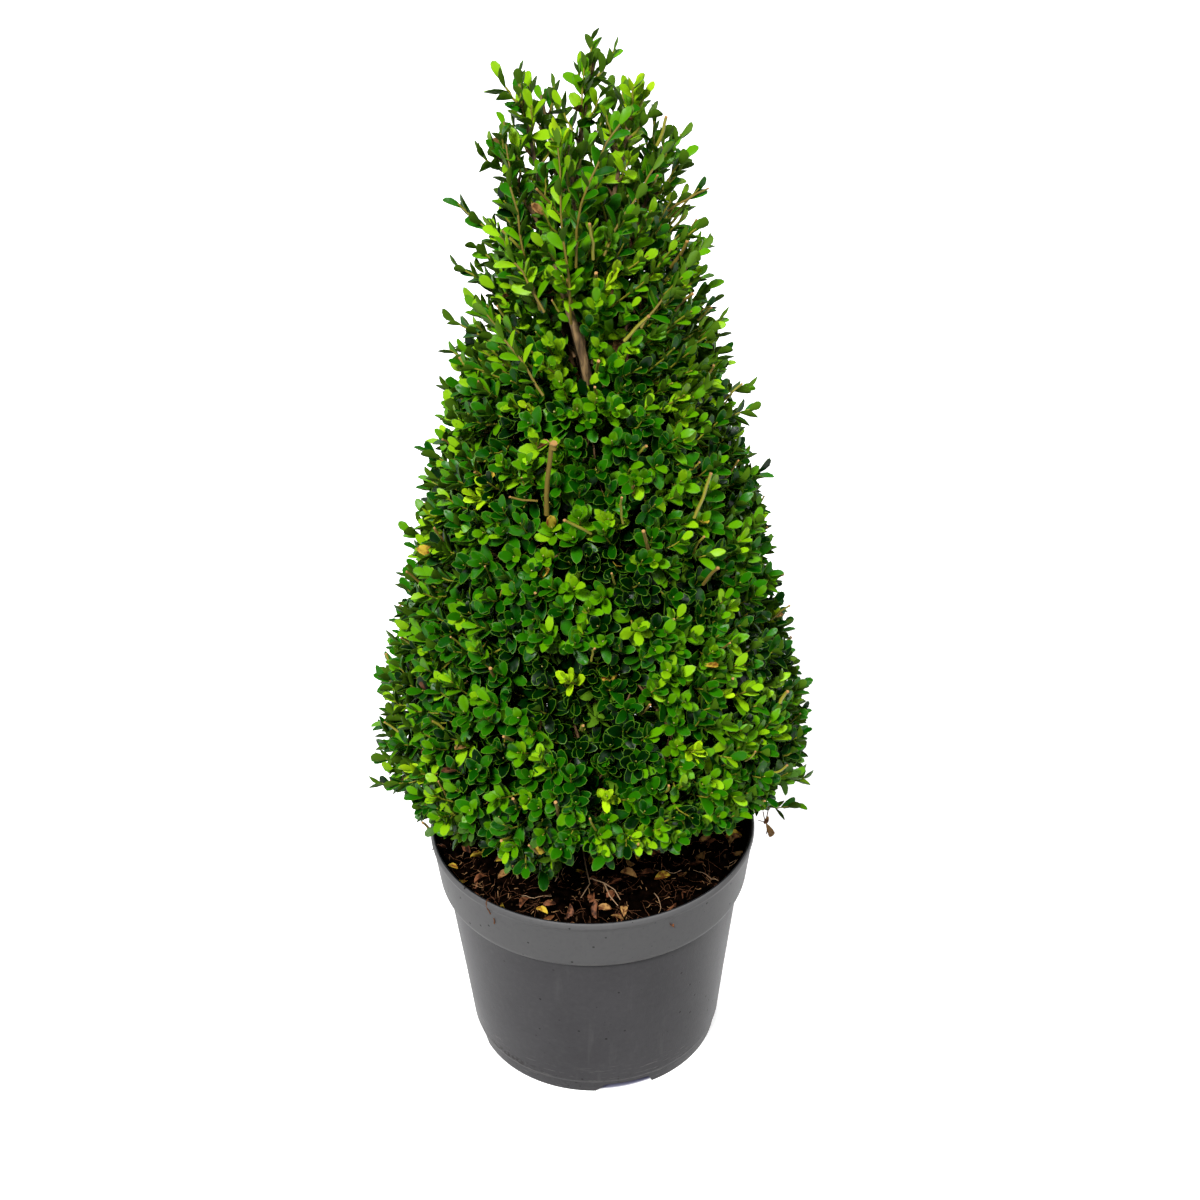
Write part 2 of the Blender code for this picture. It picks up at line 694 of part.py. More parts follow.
def notch_cutter(azimuth):
    """A low arch through the foot ring, wider at the floor than at its top, and steeper at one end."""
    inner, outer = FOOT_RADIUS - 5.0 * POT_WALL, FOOT_RADIUS + 3.0 * POT_WALL
    arch = ((-1.15, -0.002), (-0.72, NOTCH_HEIGHT), (0.86, NOTCH_HEIGHT), (1.05, -0.002))
    points = []
    for radius in (inner, outer):
        for share, height in arch:
            angle = azimuth + share * NOTCH_HALF_ANGLE
            points.append((radius * math.cos(angle), radius * math.sin(angle), height))
    faces = [(0, 1, 2, 3), (7, 6, 5, 4), (0, 4, 5, 1), (1, 5, 6, 2), (2, 6, 7, 3), (3, 7, 4, 0)]
    return mesh_of("notch", points, faces)


def drain_cutter(azimuth):
    ends = (DRAIN_RADIUS, BASE_LIFT - BASE_PLATE), (DRAIN_RADIUS, BASE_LIFT + 2.0 * BASE_PLATE)
    hole = turned("drain", ends, DRAIN_SIDES)
    centre = Vector((DRAIN_RING_RADIUS * math.cos(azimuth), DRAIN_RING_RADIUS * math.sin(azimuth), 0.0))
    hole.transform(Matrix.Translation(centre))
    return hole


def make_pot(finish):
    foot_inner = FOOT_RADIUS - POT_WALL
    profile = (
        (foot_inner - 0.0030, BASE_LIFT),
        (foot_inner, BASE_LIFT - 0.0020),
        (foot_inner, 0.0),
        (FOOT_RADIUS, 0.0),
        (BODY_FOOT_RADIUS - 0.0012, FOOT_LEDGE_Z - 0.0012),
        (BODY_FOOT_RADIUS, FOOT_LEDGE_Z),
        (BODY_TOP_RADIUS, COLLAR_FOOT_Z),
        (COLLAR_FOOT_RADIUS - 0.0010, COLLAR_FOOT_Z + 0.0004),
        (COLLAR_FOOT_RADIUS, COLLAR_FOOT_Z + 0.0030),
        (POT_RIM_RADIUS - 0.0020, POT_HEIGHT - 0.0055),
        (POT_RIM_RADIUS, POT_HEIGHT - 0.0035),
        (POT_RIM_RADIUS - 0.0006, POT_HEIGHT),
        (POT_RIM_RADIUS - RIM_LIP, POT_HEIGHT),
        (COLLAR_FOOT_RADIUS - POT_WALL, COLLAR_INNER_FOOT_Z),
        (BODY_TOP_RADIUS - POT_WALL, COLLAR_FOOT_Z - 0.0030),
        (BODY_FOOT_RADIUS - POT_WALL - 0.0006, BASE_LIFT + BASE_PLATE),
    )
    pot = new_object("pot", turned("pot", profile, POT_SEGMENTS), finish)
    cutters = new_collection("pot_cutters")
    for k in range(NOTCH_COUNT):
        azimuth = NOTCH_FIRST_AZIMUTH + 2.0 * math.pi * k / NOTCH_COUNT
        new_object("notch", notch_cutter(azimuth), collection=cutters)
        new_object("drain", drain_cutter(azimuth), collection=cutters)
    boolean(pot, "DIFFERENCE", cutters)
    shade_round(pot.data)


def make_soil(finish):
    """The soil fills the pot, domed a little and uneven, and flat where the trunk stands."""
    dice = random.Random("soil")
    gap = CLEARANCE * 2.0
    collar_inner = COLLAR_FOOT_RADIUS - POT_WALL
    share = (SOIL_EDGE_Z - COLLAR_INNER_FOOT_Z) / (POT_HEIGHT - COLLAR_INNER_FOOT_Z)
    edge = collar_inner + (POT_RIM_RADIUS - RIM_LIP - collar_inner) * share
    profile = (
        (BODY_FOOT_RADIUS - POT_WALL - gap - 0.0010, BASE_LIFT + BASE_PLATE + gap),
        (BODY_TOP_RADIUS - POT_WALL - gap, COLLAR_FOOT_Z - 0.0034),
        (collar_inner - gap, COLLAR_INNER_FOOT_Z + gap),
        (edge - gap, SOIL_EDGE_Z),
        (0.1000, SOIL_EDGE_Z + 0.0030),
        (0.0700, SOIL_TOP_Z),
        (SOIL_FLAT_RADIUS, SOIL_TOP_Z),
    )
    mesh = turned("soil", profile, SOIL_SEGMENTS)
    for vertex in mesh.vertices:
        on_top = vertex.co.z > SOIL_EDGE_Z - CLEARANCE
        if on_top and math.hypot(vertex.co.x, vertex.co.y) > SOIL_FLAT_RADIUS + CLEARANCE:
            vertex.co.z += dice.uniform(-SOIL_UNEVEN, SOIL_UNEVEN)
    shade_round(mesh)
    new_object("soil", mesh, finish)


def make_trunk(finish):
    """The trunk runs from a flat cut at the soil, through its lobed flare, to the fork."""
    foot, top = TRUNK_PATH[0][0], TRUNK_PATH[-1][0]
    flare_top = foot + 2.5 * FLARE_HEIGHT
    heights = [foot, foot + 0.006, foot + 0.014, flare_top]
    heights += [flare_top + (top - flare_top) * (i + 1) / 11 for i in range(11)]
    path = [trunk_at(height) for height in heights]
    mesh = limb("trunk", path, [trunk_radius(height) for height in heights], TRUNK_SIDES)
    for vertex in mesh.vertices:
        swell = math.exp(-(vertex.co.z - foot) / FLARE_HEIGHT)
        angle = math.atan2(vertex.co.y, vertex.co.x)
        push = 1.0 + FLARE_LOBES * swell * math.cos(4.0 * angle + 0.6)
        vertex.co.x *= push
        vertex.co.y *= push
    for vertex in list(mesh.vertices)[:TRUNK_SIDES]:
        vertex.co.z = foot
    shade_round(mesh)
    new_object("trunk", mesh, finish)


def make_leader(leader, finish):
    path, radii = leader_path(leader, CROWN_FOOT_Z + 2.0 * SEAM - 1.2 * CLEARANCE)
    mesh = limb("leader", path, radii, STEM_SIDES)
    shade_round(mesh)
    new_object("leader_" + leader.name, mesh, finish)


def main():
    clear_scene()
    leaf = material("holly_leaf", GREEN, 0.40)
    dense = material("holly_leaf_crown", DARK_GREEN, 0.45)
    bark = material("bark", BARK, 0.75)
    make_pot(material("pot_plastic", GREY_PLASTIC, 0.45))
    make_soil(material("potting_soil", PEAT, 0.95))
    make_trunk(bark)
    for leader in LEADERS:
        make_leader(leader, bark)
    for tier in TIERS:
        for number in range(tier.masses):
            make_wedge_mass(Wedge(tier, number), leaf)
    for leader in LEADERS:
        make_crown_tuft(Cell(leader), dense)


main()
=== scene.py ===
# %% [markdown]
# # A clipped cone of small-leaved holly in a nursery pot
#
# This notebook dresses a plain solid model of a potted topiary: a trunk and eight leaders, foliage
# in masses that were clipped to a cone, soil, and a grey plastic pot. The solids are loaded first.
# They say how large everything is, and they stay where they are. Each step then makes one part of
# the plant or the pot as it looks in life, and hides the solid that it stands for.
#
# Lengths are in metres, Z points up, and the plant's front faces -Y.

# %% Load the solids
import math
import random

import bmesh
import bpy
import numpy as np
from mathutils import Matrix, Vector, noise


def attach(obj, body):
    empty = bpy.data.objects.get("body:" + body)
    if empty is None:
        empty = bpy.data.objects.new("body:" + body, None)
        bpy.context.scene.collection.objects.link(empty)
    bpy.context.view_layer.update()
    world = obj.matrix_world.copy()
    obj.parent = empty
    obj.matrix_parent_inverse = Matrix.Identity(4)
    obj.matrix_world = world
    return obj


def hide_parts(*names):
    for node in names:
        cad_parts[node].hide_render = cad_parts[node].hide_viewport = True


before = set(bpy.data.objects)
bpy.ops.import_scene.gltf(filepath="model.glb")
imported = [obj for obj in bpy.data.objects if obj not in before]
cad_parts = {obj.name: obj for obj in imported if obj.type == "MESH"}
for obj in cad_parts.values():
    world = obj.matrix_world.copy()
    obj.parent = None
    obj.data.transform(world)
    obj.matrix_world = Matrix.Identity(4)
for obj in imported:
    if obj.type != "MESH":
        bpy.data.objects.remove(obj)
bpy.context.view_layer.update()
scene = bpy.context.scene

# %% [markdown]
# ## Camera
#
# The plant is looked at from a little above the height of its tip, so that the soil shows inside
# the rim. A camera looks along its own -Z. Turning it up by 90 degrees less the pitch about X makes
# it look ahead and down, a turn about Z then aims it sideways, and a turn about its own axis rolls
# it. A lens of 55.5 mm on a 36 mm sensor keeps the upright sides of the pot from leaning much.

# %% Camera
CAMERA_PLACE = (0.0, -1.1873, 1.1131)
CAMERA_PITCH, CAMERA_YAW, CAMERA_ROLL = math.radians(30.83), math.radians(0.44), math.radians(0.98)
LENS_MM, SENSOR_MM = 55.55, 36.0

camera = bpy.data.objects.new("camera", bpy.data.cameras.new("camera"))
camera.data.lens = LENS_MM
camera.data.sensor_width = SENSOR_MM
look_down = Matrix.Rotation(math.pi / 2.0 - CAMERA_PITCH, 4, "X")
camera.matrix_world = (
    Matrix.Translation(CAMERA_PLACE)
    @ Matrix.Rotation(-CAMERA_YAW, 4, "Z")
    @ look_down
    @ Matrix.Rotation(-CAMERA_ROLL, 4, "Z")
)
scene.collection.objects.link(camera)
scene.camera = camera
print("camera at", CAMERA_PLACE, "with a lens of", LENS_MM, "mm")

# %% [markdown]
# ## Node trees as Python
#
# Shaders and Geometry Nodes are both trees of nodes. Building them by hand takes four lines for
# each node, so two small classes do it here. The first is a Wire, which stands for the output of a
# node. Arithmetic on wires adds Math nodes, so that a formula can be read as a formula.

# %% Wires
class Wire:
    """The output of a node. Arithmetic on it adds Math nodes."""

    def __init__(self, board, node, output):
        self.board, self.node = board, node
        self.socket = node.outputs[output] if node.outputs else None

    def maths(self, operation, first, second=0.0):
        return self.board.add("ShaderNodeMath", {"operation": operation}, {0: first, 1: second})

    def out(self, name):
        return Wire(self.board, self.node, name)

    def __add__(self, other):
        return self.maths("ADD", self, other)

    def __radd__(self, other):
        return self.maths("ADD", other, self)

    def __sub__(self, other):
        return self.maths("SUBTRACT", self, other)

    def __rsub__(self, other):
        return self.maths("SUBTRACT", other, self)

    def __mul__(self, other):
        return self.maths("MULTIPLY", self, other)

    def __rmul__(self, other):
        return self.maths("MULTIPLY", other, self)

    def __truediv__(self, other):
        return self.maths("DIVIDE", self, other)

    def between(self, low, high):
        """0 below low and 1 above high, with a soft step between them."""
        return self.board.add(
            "ShaderNodeMapRange",
            {"interpolation_type": "SMOOTHSTEP"},
            {"Value": self, "From Min": low, "From Max": high},
        )


print("wires are ready")

# %% [markdown]
# The second is a Board, which stands for a whole tree. It adds any node by its kind, sets it up,
# and plugs its inputs: a wire is linked, and anything else is set as the socket's own value.

# %% Boards
class Board:
    """A node tree, with one method that adds a node."""

    def __init__(self, tree):
        self.tree = tree

    def add(self, kind, settings=None, inputs=None, output=0):
        node = self.tree.nodes.new(kind)
        for name, value in (settings or {}).items():
            if name == "stops":
                self.set_stops(node.color_ramp.elements, value)
            else:
                setattr(node, name, value)
        for key, value in (inputs or {}).items():
            self.plug(value, node.inputs[key])
        return Wire(self, node, output)

    def set_stops(self, elements, stops):
        while len(elements) < len(stops):
            elements.new(0.5)
        for element, (position, colour) in zip(elements, stops):
            element.position = position
            element.color = (*colour, 1.0)

    def plug(self, value, socket):
        if isinstance(value, Wire):
            self.tree.links.new(value.socket, socket)
        else:
            socket.default_value = value


print("boards are ready")

# %% [markdown]
# ## Finishes
#
# Every finish is one Principled shader. What is the same all over a surface, such as how rough a
# leaf is, is set on the shader itself. What changes from place to place is a wire.

# %% A finish
def rgb(red, green, blue):
    """A colour from the 0 to 255 numbers of a paint program, as the light that it stands for."""
    return tuple((part / 255.0) ** 2.2 for part in (red, green, blue))


def finish(name, colour, roughness, **settings):
    """A material with its Principled shader set up. colour is a tuple here and may be wired later."""
    made = bpy.data.materials.new(name)
    made.use_nodes = True
    shader = made.node_tree.nodes["Principled BSDF"]
    shader.inputs["Base Color"].default_value = (*colour, 1.0)
    shader.inputs["Roughness"].default_value = roughness
    for key, value in settings.items():
        shader.inputs[key.replace("_", " ")].default_value = value
    made.diffuse_color = (*colour, 1.0)
    return made


def board_of(material):
    """The material's board, its shader, and a wire of Object coordinates."""
    board = Board(material.node_tree)
    place = board.add("ShaderNodeTexCoord", output="Object")
    return board, material.node_tree.nodes["Principled BSDF"], place


def scattered(board, place, scale, detail=3.0, stretch=(1.0, 1.0, 1.0), kind="ShaderNodeTexNoise"):
    """Noise whose lumps are 1 / scale metres across, stretched along X, Y and Z."""
    spread = board.add("ShaderNodeMapping", None, {"Vector": place, "Scale": stretch})
    return board.add(kind, None, {"Vector": spread, "Scale": scale, "Detail": detail})


def mixed(board, share, first, second):
    """The first colour where share is 0, and the second where it is 1."""
    inputs = {"Factor": share, 6: first, 7: second}
    for key in (6, 7):
        if isinstance(inputs[key], tuple):
            inputs[key] = (*inputs[key], 1.0)
    return board.add("ShaderNodeMix", {"data_type": "RGBA"}, inputs, 2)


def bumped(board, shader, height, strength, distance):
    """Bends the light on a surface as if it rose by height times distance."""
    inputs = {"Height": height, "Strength": strength, "Distance": distance}
    board.plug(board.add("ShaderNodeBump", None, inputs), shader.inputs["Normal"])


print("finishes are ready")

# %% [markdown]
# ## Floor
#
# The plant stands in a white studio. The floor has to be equally white everywhere, so it gives off
# light of its own, and a white dome closes the room far behind it. Neither lights the plant: the
# floor is hidden from diffuse rays, and the dome from every ray but the camera's. Little light
# gets in under a pot, so the floor is darker there. The distance from the middle makes that round
# shade, of which only a little shows, through a notch in the pot's foot.

# %% Floor and dome
FLOOR_HALF, DOME_RADIUS = 30.0, 45.0
SHADE_RADIUS, SHADE_EDGE = 0.0960, 0.0995
WHITE, FLOOR_WHITE = (1.0, 1.0, 1.0), (0.92, 0.92, 0.92)
SHADE_GLOW, FLOOR_SHADE = (0.03, 0.03, 0.06), (0.16, 0.16, 0.22)

corners = [(-FLOOR_HALF, -FLOOR_HALF, 0), (FLOOR_HALF, -FLOOR_HALF, 0)]
corners += [(FLOOR_HALF, FLOOR_HALF, 0), (-FLOOR_HALF, FLOOR_HALF, 0)]
floor_mesh = bpy.data.meshes.new("floor")
floor_mesh.from_pydata(corners, [], [(0, 1, 2, 3)])
floor = bpy.data.objects.new("floor", floor_mesh)
studio_white = finish("studio_white", FLOOR_WHITE, 0.95, Specular_IOR_Level=0.0, Emission_Strength=0.62)
board, shader, place = board_of(studio_white)
from_middle = board.add("ShaderNodeVectorMath", {"operation": "LENGTH"}, {0: place}, "Value")
beside_pot = from_middle.between(SHADE_RADIUS, SHADE_EDGE)
board.plug(mixed(board, beside_pot, SHADE_GLOW, WHITE), shader.inputs["Emission Color"])
board.plug(mixed(board, beside_pot, FLOOR_SHADE, FLOOR_WHITE), shader.inputs["Base Color"])
floor_mesh.materials.append(studio_white)
floor.visible_diffuse = False
scene.collection.objects.link(floor)

build = bmesh.new()
bmesh.ops.create_uvsphere(build, u_segments=48, v_segments=24, radius=DOME_RADIUS)
bmesh.ops.reverse_faces(build, faces=build.faces)
dome_mesh = bpy.data.meshes.new("white_dome")
build.to_mesh(dome_mesh)
build.free()
dome = bpy.data.objects.new("white_dome", dome_mesh)
glow = {"Emission_Strength": 1.0, "Emission_Color": (*WHITE, 1.0)}
dome_mesh.materials.append(finish("dome_white", (0.0, 0.0, 0.0), 1.0, Specular_IOR_Level=0.0, **glow))
for ray in ("diffuse", "glossy", "transmission", "volume_scatter", "shadow"):
    setattr(dome, "visible_" + ray, False)
scene.collection.objects.link(dome)
print("floor half:", FLOOR_HALF, "dome radius:", DOME_RADIUS)

# %% [markdown]
# ## Light
#
# Three suns with a wide disc light the plant. A sun is as bright far away as it is close by, and a
# wide disc gives soft shadows and broad highlights, as a large softbox does. The key is the
# strongest and the smallest, and comes from the left of the camera. The fill from the right opens
# its shadows, and one from behind draws the edge of the crown. The white surroundings add only a
# little, so that the plant's inside stays dark.

# %% Light
SURROUNDINGS = 0.065
# Each sun is its name, the direction it shines from, its strength and its width in degrees.
SUNS = (
    ("key_from_left", (-0.36, -0.84, 0.95), 4.4, 13.0),
    ("fill_from_right", (0.80, -0.50, 0.85), 1.25, 30.0),
    ("rim_from_behind", (-0.20, 0.90, 0.95), 1.5, 40.0),
)
for name, towards, strength, width in SUNS:
    lamp = bpy.data.lights.new(name, "SUN")
    lamp.energy = strength
    lamp.angle = math.radians(width)
    light = bpy.data.objects.new(name, lamp)
    light.rotation_euler = Vector(towards).to_track_quat("Z", "Y").to_euler()
    scene.collection.objects.link(light)

scene.view_settings.view_transform = "Standard"
world = bpy.data.worlds.new("studio")
world.use_nodes = True
background = world.node_tree.nodes["Background"]
background.inputs["Color"].default_value = (*WHITE, 1.0)
background.inputs["Strength"].default_value = SURROUNDINGS
scene.world = world
print("lights:", [lamp.name for lamp in bpy.data.lights])

# %% [markdown]
# ## Plain mesh helpers
#
# Three kinds of shape are made by hand below: turned ones, such as the pot, limbs, such as the
# trunk, and small faceted ones. They all end as a mesh whose faces point outwards. A face that
# points inwards renders black in places and is thin air to a 3-D printer. A smooth mesh keeps its
# edges sharp where two faces meet at more than a given angle.

# %% Mesh helpers
UP, X_AXIS = Vector((0.0, 0.0, 1.0)), Vector((1.0, 0.0, 0.0))


def mesh_from(name, points, faces):
    mesh = bpy.data.meshes.new(name)
    mesh.from_pydata([tuple(point) for point in points], [], faces)
    mesh.validate()
    build = bmesh.new()
    build.from_mesh(mesh)
    bmesh.ops.recalc_face_normals(build, faces=build.faces)
    build.to_mesh(mesh)
    build.free()
    return mesh


def smooth(mesh, sharp_degrees=38.0):
    mesh.shade_smooth()
    mesh.set_sharp_from_angle(angle=math.radians(sharp_degrees))


def placed(name, mesh, *finishes):
    obj = bpy.data.objects.new(name, mesh)
    for material in finishes:
        mesh.materials.append(material)
    scene.collection.objects.link(obj)
    return obj


print("mesh helpers are ready")

# %% [markdown]
# A pot is round, so a profile of (radius, height) pairs that is swept round Z gives all of it.
# Pairs serve for the trunk and for the outline of the whole plant as well: between() reads a
# smooth curve through them at any height.

# %% Turned shapes and curves
def turned(name, profile, segments):
    """A closed solid turned round Z from (radius, height) pairs that start and end on the axis."""
    points, faces = [(0.0, 0.0, profile[0][1]), (0.0, 0.0, profile[-1][1])], []
    rings = profile[1:-1]
    for radius, height in rings:
        for k in range(segments):
            angle = 2.0 * math.pi * k / segments
            points.append((radius * math.cos(angle), radius * math.sin(angle), height))
    for k in range(segments):
        after = (k + 1) % segments
        faces.append((0, 2 + after, 2 + k))
        for ring in range(len(rings) - 1):
            low, high = 2 + ring * segments, 2 + (ring + 1) * segments
            faces.append((low + k, low + after, high + after, high + k))
        last = 2 + (len(rings) - 1) * segments
        faces.append((1, last + k, last + after))
    return mesh_from(name, points, faces)


def between(pairs, height):
    """The value of a smooth curve through (height, value) pairs."""
    if height <= pairs[0][0]:
        return pairs[0][1]
    if height >= pairs[-1][0]:
        return pairs[-1][1]
    slopes = [(b[1] - a[1]) / (b[0] - a[0]) for a, b in zip(pairs, pairs[1:])]
    ends = [slopes[0]] + [0.5 * (a + b) for a, b in zip(slopes, slopes[1:])] + [slopes[-1]]
    i = max(k for k, pair in enumerate(pairs[:-1]) if pair[0] <= height)
    (low, first), (high, second) = pairs[i], pairs[i + 1]
    span = high - low
    t = (height - low) / span
    return (
        first * (2 * t**3 - 3 * t**2 + 1)
        + ends[i] * span * (t**3 - 2 * t**2 + t)
        + second * (3 * t**2 - 2 * t**3)
        + ends[i + 1] * span * (t**3 - t**2)
    )


print("turned shapes and curves are ready")

# %% [markdown]
# ## The pot
#
# The real pot is blow-moulded from two layers of plastic, grey outside and black inside. It has a
# tall collar with a rounded rim, a step in to the body, a slight foot ledge, and notches in its
# foot that let water out. A turned profile gives the whole wall in one closed piece, with a small
# radius at every corner, because moulded plastic has no sharp edges and a radius catches the light.

# %% Pot sizes and profile
POT_HEIGHT, RIM_RADIUS = 0.2010, 0.1300
COLLAR_FOOT_Z, COLLAR_FOOT_RADIUS = 0.1550, 0.1244
BODY_TOP_RADIUS, BODY_FOOT_RADIUS, FOOT_RADIUS = 0.1187, 0.1030, 0.1004
LEDGE_Z, WALL, BASE_LIFT, BASE_PLATE = 0.0130, 0.0020, 0.0090, 0.0026
NOTCH_COUNT, NOTCH_FIRST, NOTCH_HALF, NOTCH_HEIGHT = 4, math.radians(-77.0), math.radians(12.5), 0.0085
DRAIN_RADIUS, DRAIN_RING, DRAIN_TURN = 0.0065, 0.0800, 0.7
DRAIN_FOOT, DRAIN_TOP = 0.004, 0.018


def rounded(corners, radius, steps=3):
    """The corners' path with each corner but the first and the last rounded off."""
    path = [Vector(corners[0])]
    for before, corner, after in zip(corners, corners[1:], corners[2:]):
        before, corner, after = Vector(before), Vector(corner), Vector(after)
        reach_in = min(radius, 0.45 * (before - corner).length)
        reach_out = min(radius, 0.45 * (after - corner).length)
        start = corner + (before - corner).normalized() * reach_in
        end = corner + (after - corner).normalized() * reach_out
        for k in range(steps + 1):
            t = k / steps
            path.append(start * (1 - t) ** 2 + corner * 2 * t * (1 - t) + end * t**2)
    path.append(Vector(corners[-1]))
    return [(point.x, point.y) for point in path]


pot_outside = [
    (0.0, BASE_LIFT),
    (FOOT_RADIUS - WALL - 0.0012, BASE_LIFT),
    (FOOT_RADIUS - WALL, 0.0),
    (FOOT_RADIUS, 0.0),
    (BODY_FOOT_RADIUS - 0.0006, LEDGE_Z - 0.0010),
    (BODY_FOOT_RADIUS + 0.0006, LEDGE_Z + 0.0010),
    (0.1086, 0.0620),
    (BODY_TOP_RADIUS, COLLAR_FOOT_Z - 0.0035),
    (COLLAR_FOOT_RADIUS - 0.0012, COLLAR_FOOT_Z - 0.0004),
    (COLLAR_FOOT_RADIUS, COLLAR_FOOT_Z + 0.0030),
    (RIM_RADIUS - 0.0013, POT_HEIGHT - 0.0075),
    (RIM_RADIUS, POT_HEIGHT - 0.0048),
    (RIM_RADIUS - 0.0004, POT_HEIGHT - 0.0010),
    (RIM_RADIUS - 0.0016, POT_HEIGHT),
]
pot_inside = [
    (RIM_RADIUS - 0.0032, POT_HEIGHT - 0.0006),
    (RIM_RADIUS - 0.0036, POT_HEIGHT - 0.0060),
    (COLLAR_FOOT_RADIUS - WALL, COLLAR_FOOT_Z + 0.0060),
    (BODY_TOP_RADIUS - WALL, COLLAR_FOOT_Z - 0.0035),
    (BODY_FOOT_RADIUS - WALL, BASE_LIFT + BASE_PLATE),
    (0.0, BASE_LIFT + BASE_PLATE),
]
pot_profile = rounded(pot_outside + pot_inside, 0.0011)
print("pot profile:", len(pot_profile), "points")

# %% [markdown]
# The notches and the drain holes are cut with Boolean modifiers, as a mould's inserts would cut
# them. A notch's outline is given as shares of its half width and its height, so that its size can
# be changed with two numbers. The faces that face the axis, and the top of the rim's inner edge,
# get the black layer.

# %% Pot mesh
def block_between(name, inner, outer, outline):
    """A closed block between two radii, with an outline of (angle, height) pairs."""
    points = [
        (radius * math.cos(angle), radius * math.sin(angle), height)
        for radius in (inner, outer)
        for angle, height in outline
    ]
    count = len(outline)
    faces = [tuple(range(count)), tuple(range(2 * count - 1, count - 1, -1))]
    for k in range(count):
        after = (k + 1) % count
        faces.append((k, count + k, count + after, after))
    return mesh_from(name, points, faces)


def cut(obj, cutter_meshes):
    """The mesh of obj with the cutters taken away, as a plain mesh."""
    cutters = []
    for mesh in cutter_meshes:
        cutters.append(placed("cutter", mesh))
        modifier = obj.modifiers.new("cut", "BOOLEAN")
        modifier.operation = "DIFFERENCE"
        modifier.object = cutters[-1]
    evaluated = obj.evaluated_get(bpy.context.evaluated_depsgraph_get())
    mesh = bpy.data.meshes.new_from_object(evaluated)
    obj.modifiers.clear()
    obj.data = mesh
    for cutter in cutters:
        bpy.data.objects.remove(cutter)


pot_grey = finish("pot_grey_plastic", rgb(68, 68, 69), 0.44, Specular_IOR_Level=0.07)
pot_black = finish("pot_black_plastic", (0.012, 0.013, 0.015), 0.34)
pot = placed("nursery_pot", turned("nursery_pot", pot_profile, 160), pot_grey, pot_black)
NOTCH_ARCH = ((-1.15, -0.002), (-0.80, 0.93), (-0.66, 1.0), (0.78, 1.0), (0.90, 0.93), (1.05, -0.002))
DRAIN_PROFILE = ((0.0, DRAIN_FOOT), (DRAIN_RADIUS, DRAIN_FOOT), (DRAIN_RADIUS, DRAIN_TOP), (0.0, DRAIN_TOP))
pot_cutters = []
for k in range(NOTCH_COUNT):
    middle = NOTCH_FIRST + 2.0 * math.pi * k / NOTCH_COUNT
    outline = [(middle + NOTCH_HALF * across, NOTCH_HEIGHT * rise) for across, rise in NOTCH_ARCH]
    pot_cutters.append(block_between("arch", FOOT_RADIUS - 0.010, FOOT_RADIUS + 0.006, outline))
    hole = turned("hole", DRAIN_PROFILE, 24)
    x, y = DRAIN_RING * math.cos(middle + DRAIN_TURN), DRAIN_RING * math.sin(middle + DRAIN_TURN)
    hole.transform(Matrix.Translation((x, y, 0.0)))
    pot_cutters.append(hole)
cut(pot, pot_cutters)
for face in pot.data.polygons:
    towards_axis = face.normal.x * face.center.x + face.normal.y * face.center.y
    inner_rim = face.center.z > POT_HEIGHT - 0.002 and face.center.xy.length < RIM_RADIUS - 0.0013
    face.material_index = int(face.center.z > BASE_LIFT + 0.002 and (towards_axis < -1e-4 or inner_rim))
smooth(pot.data)
print("pot faces:", len(pot.data.polygons))

# %% [markdown]
# Grey plastic is never one grey. Each flaw starts as a mask, which is a wire that is 1 where the
# flaw is and 0 elsewhere. Moulding leaves soft clouds and a fine grain, and handling leaves faint
# scuffs, which are noise squeezed in Z. Voronoi cells give the specks: the distance to a cell's
# middle is nearly 0 only in a few small spots. Under the collar's step a pale patchy line is a
# painted highlight along that edge. Dust settles on the ledge at the foot, and on the left some
# earth has dried on that ledge.

# %% Masks for the pot
def near(wire, middle, full, gone):
    """1 where the wire is within full of the middle value, and 0 where it is further than gone."""
    return 1.0 - wire.maths("ABSOLUTE", wire - middle).between(full, gone)


board, shader, place = board_of(pot_grey)
height = board.add("ShaderNodeSeparateXYZ", None, {0: place}, 2)
across = board.add("ShaderNodeSeparateXYZ", None, {0: place}, 0)
clouds = scattered(board, place, 14.0, 4.0)
grain = scattered(board, place, 240.0, 5.0)
fine = scattered(board, place, 900.0, 2.0)
patchy = scattered(board, place, 46.0, 4.0).between(0.36, 0.66)
scuffs = scattered(board, place, 130.0, 3.0, (1.0, 1.0, 0.08)).between(0.58, 0.80)
spots = board.add("ShaderNodeTexVoronoi", None, {"Vector": place, "Scale": 84.0}, "Distance")
small_spots = board.add("ShaderNodeTexVoronoi", None, {"Vector": place, "Scale": 190.0}, "Distance")
speck = (1.0 - spots.between(0.060, 0.110)) * scattered(board, place, 31.0).between(0.42, 0.54)
small_speck = (1.0 - small_spots.between(0.050, 0.100)) * scattered(board, place, 47.0).between(0.50, 0.60)
speck = speck + small_speck
at_foot = 1.0 - height.between(0.016, 0.042)
at_left = 1.0 - across.between(-0.075, -0.035)
scratches = scattered(board, place, 70.0, 3.0, (1.0, 1.0, 9.0)).between(0.60, 0.72) * at_foot
ledge_dust = near(height, 0.0135, 0.0, 0.0026) * patchy
# A painted highlight: a pale patchy line along the edge under the collar's step.
collar_edge_highlight = near(height, 0.1545, 0.0, 0.0045) * patchy
debris = scattered(board, place, 520.0, 2.0).between(0.66, 0.72) * (1.0 - height.between(0.010, 0.026))
earth = near(height, 0.0170, 0.0005, 0.0060) * at_left
earth = earth * scattered(board, place, 300.0, 4.0).between(0.46, 0.58)
print("pot masks done")
